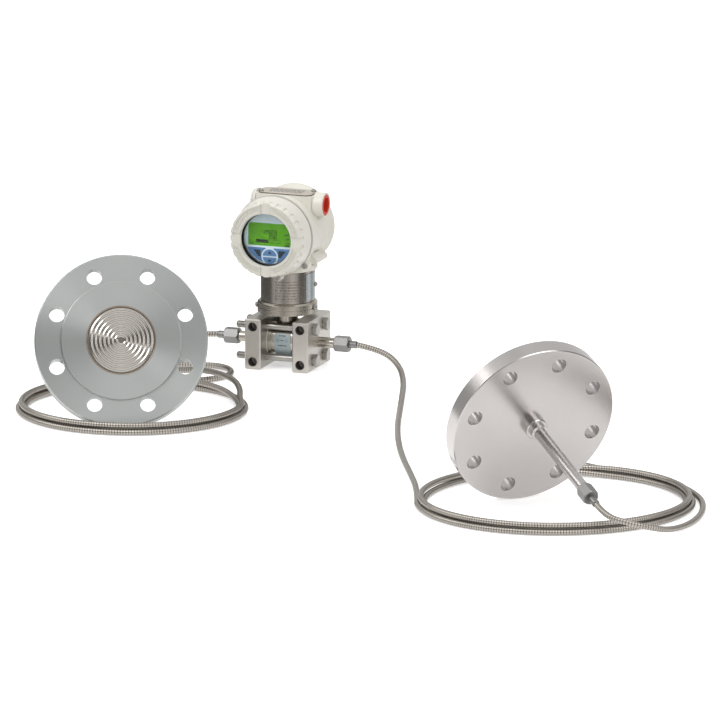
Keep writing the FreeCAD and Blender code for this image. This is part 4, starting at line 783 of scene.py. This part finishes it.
def prism(name, outline, soft=0.0):
    """A flat shape one unit thick, centred on Z, from an outline in X and Y."""
    count = len(outline)
    points = [(x, y, -0.5) for x, y in outline] + [(x * (1 - soft), y * (1 - soft), 0.5) for x, y in outline]
    faces = [tuple(range(count))[::-1], tuple(range(count, 2 * count))]
    for k in range(count):
        n = (k + 1) % count
        faces.append((k, n, count + n, count + k))
    return bpy.data.objects.new(name, closed_mesh(name, points, faces))


CREST_SIDES = 40
CREST_SECTION = ((1.0, 0.0), (0.965, 0.5), (0.93, 0.0), (0.965, -0.5))


def crest_ring(name):
    """A thin ring of unit radius round Z with a pointed section, like one turn of a thread."""
    points, faces = [], []
    for k in range(CREST_SIDES):
        a = 2 * math.pi * k / CREST_SIDES
        points += [(r * math.cos(a), r * math.sin(a), z) for r, z in CREST_SECTION]
        for m in range(4):
            n = (m + 1) % 4
            here, there = 4 * k, 4 * ((k + 1) % CREST_SIDES)
            faces.append((here + m, there + m, there + n, here + n))
    return bpy.data.objects.new(name, closed_mesh(name, points, faces))


SQUARE = ((-0.5, -0.5), (0.5, -0.5), (0.5, 0.5), (-0.5, 0.5))
bar = prism("bar", SQUARE)
raised_bar = prism("raised_bar", SQUARE, 0.18)
triangle = prism("triangle", ((-0.5, -0.4), (0.5, -0.4), (0.0, 0.5)))
wedge = prism("wedge", ((-0.5, 0.5), (0.5, 0.5), (0.5, -0.5), (0.2, -0.5)))
crest = crest_ring("crest")
print("shapes", [o.name for o in (bar, raised_bar, triangle, wedge, crest)])

# %% Repeat a shape at places


def repeat(name, shape, places, finish, body):
    """places are (centre, turn matrix, size) in the frame; sizes and centres in metres."""
    mesh = bpy.data.meshes.new(name + "_points")
    mesh.from_pydata([tuple(centre) for centre, turn, size in places], [], [])
    for label, values in (("turn", [turn.to_euler() for centre, turn, size in places]),
                          ("size", [size for centre, turn, size in places])):
        stored = mesh.attributes.new(label, "FLOAT_VECTOR", "POINT")
        for entry, value in zip(stored.data, values):
            entry.vector = tuple(value)
    piece = run_tree(name, mesh, repeat_tree, {"Shape": shape, "Finish": finish})
    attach(piece, body)
    print(name, len(places), "copies", len(piece.data.polygons), "faces")


def axes(x, y):
    """Turn matrix whose X and Y point along the given directions."""
    x, y = Vector(x).normalized(), Vector(y).normalized()
    z = x.cross(y)
    return Matrix((x, y, z)).transposed()


# %% [markdown]
# ## The membranes
# The process membrane is a foil pressed into round waves, and its rings are the brightest thing on the
# seal. A lathe with many steps round the axis gives them clean reflections: the profile is a line of
# cosine waves, spun point by point, and closed at the rim and at the back.

# %% Wave profile
MEMBRANE_RADIUS = 39.0
WAVE_START, WAVE_PITCH, WAVES, WAVE_HEIGHT = 3.4, 4.85, 7, 0.95
FOIL_BASE = 0.7
FLAT_MIDDLE = 0.5
STEPS_PER_MM = 4


def foil_height(r):
    """Height of the foil over its seat at radius r, in millimetres."""
    end = WAVE_START + WAVE_PITCH * WAVES
    if r <= WAVE_START or r >= end:
        return FOIL_BASE
    return FOIL_BASE + WAVE_HEIGHT * (0.5 - 0.5 * math.cos(2 * math.pi * (r - WAVE_START) / WAVE_PITCH))


steps = range(int(FLAT_MIDDLE * STEPS_PER_MM), int(MEMBRANE_RADIUS * STEPS_PER_MM) + 1)
profile = [(k / STEPS_PER_MM, foil_height(k / STEPS_PER_MM)) for k in steps]
profile.append((MEMBRANE_RADIUS, 0.0))
print("profile points", len(profile))

# %% Spin the membranes
TURNS = 128


def spin(name, centre, axis, profile, finish):
    """A closed round piece from (radius, height) points; height is measured against axis."""
    side = axis.orthogonal().normalized()
    other = axis.cross(side)
    points = [centre - axis * profile[0][1] * MM]
    for r, height in profile:
        for k in range(TURNS):
            a = 2 * math.pi * k / TURNS
            points.append(centre + (side * math.cos(a) + other * math.sin(a)) * r * MM - axis * height * MM)
    points.append(centre.copy())
    last, rows = len(points) - 1, len(profile)
    faces = []
    for k in range(TURNS):
        n = (k + 1) % TURNS
        faces.append((0, 1 + n, 1 + k))
        for row in range(rows - 1):
            low, high = 1 + row * TURNS, 1 + (row + 1) * TURNS
            faces.append((low + k, low + n, high + n, high + k))
        rim = 1 + (rows - 1) * TURNS
        faces.append((rim + k, rim + n, last))
    mesh = closed_mesh(name, points, faces)
    for face in mesh.polygons:
        face.use_smooth = True
    mesh.materials.append(finish)
    return place_object(name, mesh)


for side in ("left", "right"):
    piece = spin("membrane_" + side, floor_centres[side], seal_axis(side), profile, membrane_steel[side])
    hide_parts("seal_diaphragm_" + side)
    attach(piece, "base")
    print(piece.name, len(piece.data.polygons), "faces")

# %% [markdown]
# ## The display
# The glass shows two lines of digits, a bar graph and a few small marks at its edge. A digit is up to
# seven bars, the way a segment display makes it, so a table of lit segments is enough.

# %% Display places
FACE = axes((1, 0, 0), (0, 0, 1))
SCREEN_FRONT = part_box("lcd_panel")[0].y
SCREEN_MIDDLE = (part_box("lcd_panel")[0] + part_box("lcd_panel")[1]) / 2
INK = 0.1


def on_screen(x, y, width, height):
    """One ink bar on the screen; x and y from the screen's middle, all in millimetres."""
    centre = Vector((x * MM, SCREEN_FRONT - 0.3 * INK * MM, SCREEN_MIDDLE.z + y * MM))
    return centre, FACE, (width * MM, height * MM, INK * MM)


LIT = {"0": "abcdef", "1": "bc", "2": "abged", "3": "abgcd", "4": "fgbc", "5": "afgcd", "6": "afgedc",
       "7": "abc", "8": "abcdefg", "9": "abcdfg"}


def digits(text, right, middle, tall, stroke):
    """Seven-segment digits that end at right; a point takes the gap before the digit on its right."""
    wide, step = tall * 0.52, tall * 0.74
    half, w = tall / 2, stroke
    segments = {"a": (0, half, wide, w), "g": (0, 0, wide, w), "d": (0, -half, wide, w),
                "f": (-wide / 2, half / 2, w, half), "b": (wide / 2, half / 2, w, half),
                "e": (-wide / 2, -half / 2, w, half), "c": (wide / 2, -half / 2, w, half)}
    places = []
    x = right - wide / 2
    for letter in reversed(text):
        if letter == ".":
            places.append(on_screen(x + step / 2, middle - half, w * 1.3, w * 1.3))
            continue
        for key in LIT[letter]:
            dx, dy, width, height = segments[key]
            places.append(on_screen(x + dx, middle + dy, width, height))
        x -= step
    return places


# %% Draw the screen
DIGIT_HEIGHT, DIGIT_STROKE, DIGITS_END = 4.2, 0.62, 8.4
FRAME_LINE = 0.5
BAR_HEIGHT = -8.0
UNITS_END = 23.6
SMALL_MARKS = ((0.7, (1.3, 1.3, 1.6)), (-4.2, (1.6, 1.6)), (-8.8, (1.5, 1.5)), (-12.0, (2.2, 2.2)))
ink = []
for text, line_height in (("125.000", 3.1), ("12.50", -2.4)):
    ink += digits(text, DIGITS_END, line_height, DIGIT_HEIGHT, DIGIT_STROKE)
for y in (-6.25, -9.75):
    ink.append(on_screen(-1.8, y, 29.2, FRAME_LINE))
for x in (-16.4, 12.8):
    ink.append(on_screen(x, BAR_HEIGHT, FRAME_LINE, 3.6))
ink.append(on_screen(-9.1, BAR_HEIGHT, 14.6, 3.2))
for row_height, widths in SMALL_MARKS:
    x = UNITS_END
    for width in widths:
        x -= width / 2
        ink.append(on_screen(x, row_height, width, 1.7))
        x -= width / 2 + 0.55
ink.append(on_screen(-20.6, -11.9, 1.5, 1.5))
ink.append(on_screen(-21.9, -10.9, 1.5, 1.1))
repeat("screen_ink", bar, ink, segment_ink, "head")

# %% Key symbols
UPSIDE_DOWN = axes((-1, 0, 0), (0, 0, -1))
MIRRORED = axes((-1, 0, 0), (0, 0, 1))
for body, shape, size, turn, shift in (("up_key", triangle, (5.0, 3.4), FACE, (0.0, 0.2)),
                                       ("down_key", triangle, (5.0, 3.4), UPSIDE_DOWN, (0.0, -0.2)),
                                       ("left_key", wedge, (9.0, 8.0), FACE, (0.6, 1.6)),
                                       ("right_key", wedge, (9.0, 8.0), MIRRORED, (-0.6, 1.6))):
    low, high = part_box("key_" + body.split("_")[0])
    middle = (low + high) / 2
    centre = Vector((middle.x + shift[0] * MM, low.y - 0.03 * MM, middle.z + shift[1] * MM))
    symbol = (centre, turn, (size[0] * MM, size[1] * MM, INK * MM))
    repeat("symbol_" + body, shape, [symbol], print_and_painted_shade, body)

# %% [markdown]
# ## Marks on the cover, the label and the plate
# The cover's ring carries raised lettering on the real product, and the label and the plate are printed.
# Raised bars and plain strokes of uneven length stand in for all of it.

# %% Raised bars round the cover
COVER_AXIS = Vector((0, 0, BARREL_AXIS))
COVER_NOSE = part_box("front_cover")[0].y
BAND_FLOOR = COVER_NOSE + 1.0 * MM
BAND_RADIUS = 37.3
MARKS, FIRST_MARK, MARK_STEP = 14, 16.0, 4.45
raised = []
for quarter in range(4):
    for k in range(MARKS):
        angle = math.radians(90.0 * quarter + FIRST_MARK + k * MARK_STEP)
        out = Vector((math.cos(angle), 0, math.sin(angle)))
        along = Vector((-math.sin(angle), 0, math.cos(angle)))
        length = 1.5 + 0.7 * ((k * 7 + quarter * 3) % 5) / 4
        centre = COVER_AXIS + out * BAND_RADIUS * MM
        centre.y = BAND_FLOOR - 0.12 * MM
        raised.append((centre, axes(along, out), (length * MM, 2.7 * MM, 0.5 * MM)))
repeat("cover_marks", raised_bar, raised, cast_paint, "window_cover")

# %% Strokes on the cell's label
CELL_AXIS = (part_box("cell_label")[0].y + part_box("cell_label")[1].y) / 2
LABEL_CENTRE = Vector((0, CELL_AXIS, 0.02975))
PRINT = 0.06
DOTS, DOT_RING = 8, 1.5
LABEL_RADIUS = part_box("cell_label")[1].y - CELL_AXIS


def on_label(x, angle, length, height):
    """A stroke on the label's drum; angle in degrees from the front, upwards."""
    a = math.radians(angle)
    out = Vector((0, -math.cos(a), math.sin(a)))
    centre = LABEL_CENTRE + out * (LABEL_RADIUS + 0.01 * MM) + Vector((x * MM, 0, 0))
    return centre, axes((1, 0, 0), Vector((1, 0, 0)).cross(out) * -1), (length * MM, height * MM, PRINT * MM)


strokes = []
for angle, spans in ((24.0, ((-3.2, 2.0), (-0.6, 2.2), (2.4, 2.6))), (8.0, ((-0.9, 1.4), (0.9, 1.4))),
                     (-10.0, ((-4.2, 2.0), (-1.4, 2.6), (1.8, 2.4), (4.6, 2.0)))):
    strokes += [on_label(x, angle, length, 1.1) for x, length in spans]
for x in (-5.4, 5.4):
    for k in range(DOTS):
        a = math.pi * 2 * k / DOTS
        strokes.append(on_label(x + DOT_RING * math.cos(a), 8.0 + 4.6 * math.sin(a), 0.8, 0.5))
repeat("label_marks", bar, strokes, print_and_painted_shade, "base")

# %% Strokes on the top plate
PLATE_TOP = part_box("nameplate")[1].z
ROWS, TOP_ROW, ROW_STEP = 5, 7.0, 3.4
ROW_START, ROW_END, STROKE_GAP = -21.0, 19.0, 1.4
STROKE_LENGTHS = (4.2, 2.6, 5.4, 3.2)
strokes = []
for row in range(ROWS):
    x = ROW_START
    k = row
    while x < ROW_END:
        length = STROKE_LENGTHS[k % len(STROKE_LENGTHS)]
        centre = Vector(((x + length / 2) * MM, (TOP_ROW - ROW_STEP * row) * MM, PLATE_TOP + 0.01 * MM))
        strokes.append((centre, Matrix.Identity(3), (length * MM, 1.1 * MM, PRINT * MM)))
        x += length + STROKE_GAP
        k += 1
repeat("plate_marks", bar, strokes, print_and_painted_shade, "top_plate")

# %% [markdown]
# ## Threads and screw crosses
# The tapped holes and the free ends of the long bolts show their threads. A crest ring is repeated at the
# pitch of the thread along each axis; the crests in the holes are dark grey, painted shade. The crosses are
# thin dark bars on the screw heads, painted shade for their recesses.

# %% Thread crests
PLATE = {side: (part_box("process_flange_" + side)[0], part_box("process_flange_" + side)[1])
         for side in ("left", "right")}
CELL_HEIGHT = (PLATE["left"][0].z + PLATE["left"][1].z) / 2
ALONG_Y = axes((1, 0, 0), (0, 0, 1))
ALONG_X = axes((0, 1, 0), (0, 0, 1))
HOLE_SPACING, HOLE_PITCH, HOLE_CRESTS = 41.3, 1.5, 8
BOLT_PITCH, BOLT_CRESTS, BOLT_RADIUS = 1.25, 12, 4.14
BOLT_SIDE, BOLT_RISE = 17.5, 18.3
holes = []
for side, (low, high) in PLATE.items():
    for front, radius in ((True, 5.5), (False, 4.95)):
        for sign in (-1, 1):
            for k in range(HOLE_CRESTS):
                depth = (1.2 + HOLE_PITCH * k) * MM
                y = low.y + depth if front else high.y - depth
                centre = Vector(((low.x + high.x) / 2, y, CELL_HEIGHT + sign * HOLE_SPACING / 2 * MM))
                holes.append((centre, ALONG_Y, (radius * MM, radius * MM, 1.4 * MM)))
# The crests in the holes wear the dark grey of painted shade.
repeat("hole_threads", crest, holes, thread_painted_shade, "base")

BOLT_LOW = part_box("flange_bolts")[0]
ends = []
for y in (-BOLT_SIDE, BOLT_SIDE):
    for z in (-BOLT_RISE, BOLT_RISE):
        for k in range(BOLT_CRESTS):
            centre = Vector((BOLT_LOW.x + (1.8 + BOLT_PITCH * k) * MM, y * MM, CELL_HEIGHT + z * MM))
            ends.append((centre, ALONG_X, (BOLT_RADIUS * MM, BOLT_RADIUS * MM, 1.0 * MM)))
repeat("bolt_threads", crest, ends, bolt_steel, "base")

# %% Screw crosses
CROSS_LIFT = 0.02
crosses = []


def cross_on(centre, outward, size):
    """A dark cross of painted shade for the recess in a screw head; centre lies on the head's face."""
    outward = Vector(outward).normalized()
    side = Vector((0, 0, 1)) if abs(outward.z) < 0.9 else Vector((0, 1, 0))
    side = (side - outward * side.dot(outward)).normalized()
    for x in (outward.cross(side), side):
        crosses.append((centre + outward * CROSS_LIFT * MM, axes(x, outward.cross(x)),
                        (size * MM, 0.22 * size * MM, INK * MM)))


BASE_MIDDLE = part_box("neck_base")[0].z + 7.35 * MM
BASE_SCREW_FACE = 37.6
PLATE_SCREW_X, PLATE_SCREW_Y = 29.0, 9.0
for angle in (200.0, -8.0, 96.0):
    a = math.radians(angle)
    out = Vector((math.cos(a), math.sin(a), 0))
    cross_on(out * BASE_SCREW_FACE * MM + Vector((0, 0, BASE_MIDDLE)), out, 3.0)
SCREW_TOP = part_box("nameplate_screws")[1].z
for sign in (-1, 1):
    cross_on(Vector((sign * PLATE_SCREW_X * MM, sign * PLATE_SCREW_Y * MM, SCREW_TOP)), (0, 0, 1), 2.8)
# Painted shade: the dark crosses stand for the shade in the screws' cross recesses.
repeat("screw_crosses", bar, crosses, print_and_painted_shade, "base")
for shape in (bar, raised_bar, triangle, wedge, crest):
    bpy.data.objects.remove(shape)

# %% [markdown]
# ## Studio
# A pale floor, a soft key from the upper left, a wide fill from the right and a bright top. The floor and
# the world are white to the eye. Polished steel shows the room, so the world that reflections see has a
# form too: bright behind the object, dark grey on the viewer's side, and brightest overhead in front.

# %% Floor and world
floor_mesh = bpy.data.meshes.new("floor")
HALF = 6.0
floor_mesh.from_pydata([(-HALF, -HALF, 0), (HALF, -HALF, 0), (HALF, HALF, 0), (-HALF, HALF, 0)], [],
                       [(0, 1, 2, 3)])
floor = place_object("floor", floor_mesh)
floor.location.z = -0.0005
floor_paint, tree, shader, where = new_material(
    "floor_paint", Base_Color=(0.9, 0.9, 0.9, 1.0), Roughness=0.9, Specular_IOR_Level=0.0,
    Emission_Color=(1.0, 1.0, 1.0, 1.0))
path_kind = add(tree, "ShaderNodeLightPath")
seen = math_node(tree, "MAXIMUM", path_kind.outputs["Is Camera Ray"], path_kind.outputs["Is Glossy Ray"])
link(tree, math_node(tree, "MULTIPLY", seen, 0.5), shader.inputs["Emission Strength"])
floor_mesh.materials.append(floor_paint)
floor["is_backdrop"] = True

world = bpy.data.worlds.new("studio")
bpy.context.scene.world = world
world.use_nodes = True
tree = world.node_tree
background = tree.nodes["Background"]
background.inputs["Color"].default_value = (1.0, 1.0, 1.0, 1.0)
direction = add(tree, "ShaderNodeTexCoord").outputs["Generated"]
parts = add(tree, "ShaderNodeSeparateXYZ")
link(tree, direction, parts.inputs[0])


def azimuth_of(tree, vector):
    """Share of a turn about Z: 0.5 is towards the viewer, 0 and 1 are behind the object."""
    right = (math.cos(CAMERA_AZIMUTH), math.sin(CAMERA_AZIMUTH), 0.0)
    viewer = (math.sin(CAMERA_AZIMUTH), -math.cos(CAMERA_AZIMUTH), 0.0)
    turn = math_node(tree, "ARCTAN2", vector_math(tree, "DOT_PRODUCT", vector, right),
                     vector_math(tree, "DOT_PRODUCT", vector, viewer))
    return math_node(tree, "ADD", math_node(tree, "DIVIDE", turn, 2 * math.pi), 0.5)


def ramp(tree, value, stops):
    """Piecewise value: stops are (position, level)."""
    node = add(tree, "ShaderNodeValToRGB")
    node.color_ramp.interpolation = "EASE"
    while len(node.color_ramp.elements) < len(stops):
        node.color_ramp.elements.new(0.5)
    for element, (position, level) in zip(node.color_ramp.elements, stops):
        element.position = position
        element.color = (level, level, level, 1.0)
    link(tree, value, node.inputs[0])
    return node.outputs[0]


azimuth = azimuth_of(tree, direction)
room = ramp(tree, azimuth, ((0.0, 0.9), (0.2, 0.5), (0.28, 0.22), (0.42, 0.26), (0.5, 0.3), (0.62, 0.24),
                            (0.74, 0.22), (0.82, 0.5), (1.0, 0.9)))
height_share = ramp(tree, parts.outputs[2], ((0.0, 0.0), (0.5, 0.0), (0.64, 1.0), (1.0, 1.0)))
front_share = ramp(tree, azimuth, ((0.0, 0.7), (0.25, 1.0), (0.4, 1.8), (0.6, 1.8), (0.75, 1.0), (1.0, 0.7)))
overhead = math_node(tree, "MULTIPLY", height_share, front_share)
reflected = math_node(tree, "MAXIMUM", room, overhead)
path_kind = add(tree, "ShaderNodeLightPath")
level = math_node(tree, "MULTIPLY", reflected, path_kind.outputs["Is Glossy Ray"])
for kind, strength in (("Camera", 1.0), ("Transmission", 1.0), ("Diffuse", 0.5)):
    share = math_node(tree, "MULTIPLY", path_kind.outputs["Is %s Ray" % kind], strength)
    level = math_node(tree, "MAXIMUM", level, share)
link(tree, level, background.inputs["Strength"])
print("floor and world ready")

# %% [markdown]
# Upright steel sees the floor round it, so a low ring of cards stands about the transmitter, grey, black
# and white by turns. Only reflections see it. It draws the upright stripes on the neck and keeps the
# front faces of the blocks greyer than their sides.

# %% Ring of cards
CARD_RADIUS, CARD_HEIGHT, CARDS = 0.27, 0.24, 96
points, faces = [], []
for k in range(CARDS):
    a = 2 * math.pi * k / CARDS
    points += [(CARD_RADIUS * math.cos(a), CARD_RADIUS * math.sin(a), z) for z in (0.002, CARD_HEIGHT)]
    n = (k + 1) % CARDS
    faces.append((2 * k, 2 * k + 1, 2 * n + 1, 2 * n))
card_mesh = bpy.data.meshes.new("cards")
card_mesh.from_pydata(points, [], faces)
cards = place_object("cards", card_mesh)
for kind in ("camera", "diffuse", "transmission", "volume_scatter", "shadow"):
    setattr(cards, "visible_" + kind, False)
card_paint, tree, shader, where = new_material(
    "card_paint", Base_Color=(0.0, 0.0, 0.0, 1.0), Roughness=1.0, Specular_IOR_Level=0.0,
    Emission_Strength=1.0)
stripes = ramp(tree, azimuth_of(tree, where), (
    (0.0, 0.8), (0.083, 0.18), (0.29, 0.16), (0.345, 0.75), (0.40, 0.8), (0.455, 0.48), (0.5, 0.66),
    (0.555, 1.0), (0.6, 0.75), (0.645, 0.2), (0.7, 0.2), (0.739, 0.8), (0.772, 1.35), (0.811, 0.5),
    (0.9, 1.0), (1.0, 0.8)))
link(tree, stripes, shader.inputs["Emission Color"])
card_mesh.materials.append(card_paint)
cards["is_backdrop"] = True
print("cards ready")

# %% Lamps


def area_lamp(name, place, target, size, power):
    data = bpy.data.lights.new(name, "AREA")
    data.shape = "RECTANGLE"
    data.size, data.size_y = size
    data.energy = power
    lamp = place_object(name, data)
    lamp.location = place
    lamp.rotation_mode = "QUATERNION"
    lamp.rotation_quaternion = (Vector(target) - Vector(place)).to_track_quat("-Z", "Y")
    return lamp


MIDDLE = (0.2, -0.3, 0.1)
area_lamp("key", (-1.6, -1.8, 2.2), MIDDLE, (1.6, 1.2), 38.0)
area_lamp("fill", (2.4, -1.4, 1.2), MIDDLE, (1.4, 1.4), 17.0)
area_lamp("top", (0.2, 0.3, 2.6), MIDDLE, (2.2, 2.2), 28.0).visible_glossy = False
bpy.context.scene.view_settings.view_transform = "Standard"
print("lamps ready")

# %% Finish
low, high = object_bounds()
print("visual box", [round(v, 4) for v in high - low])
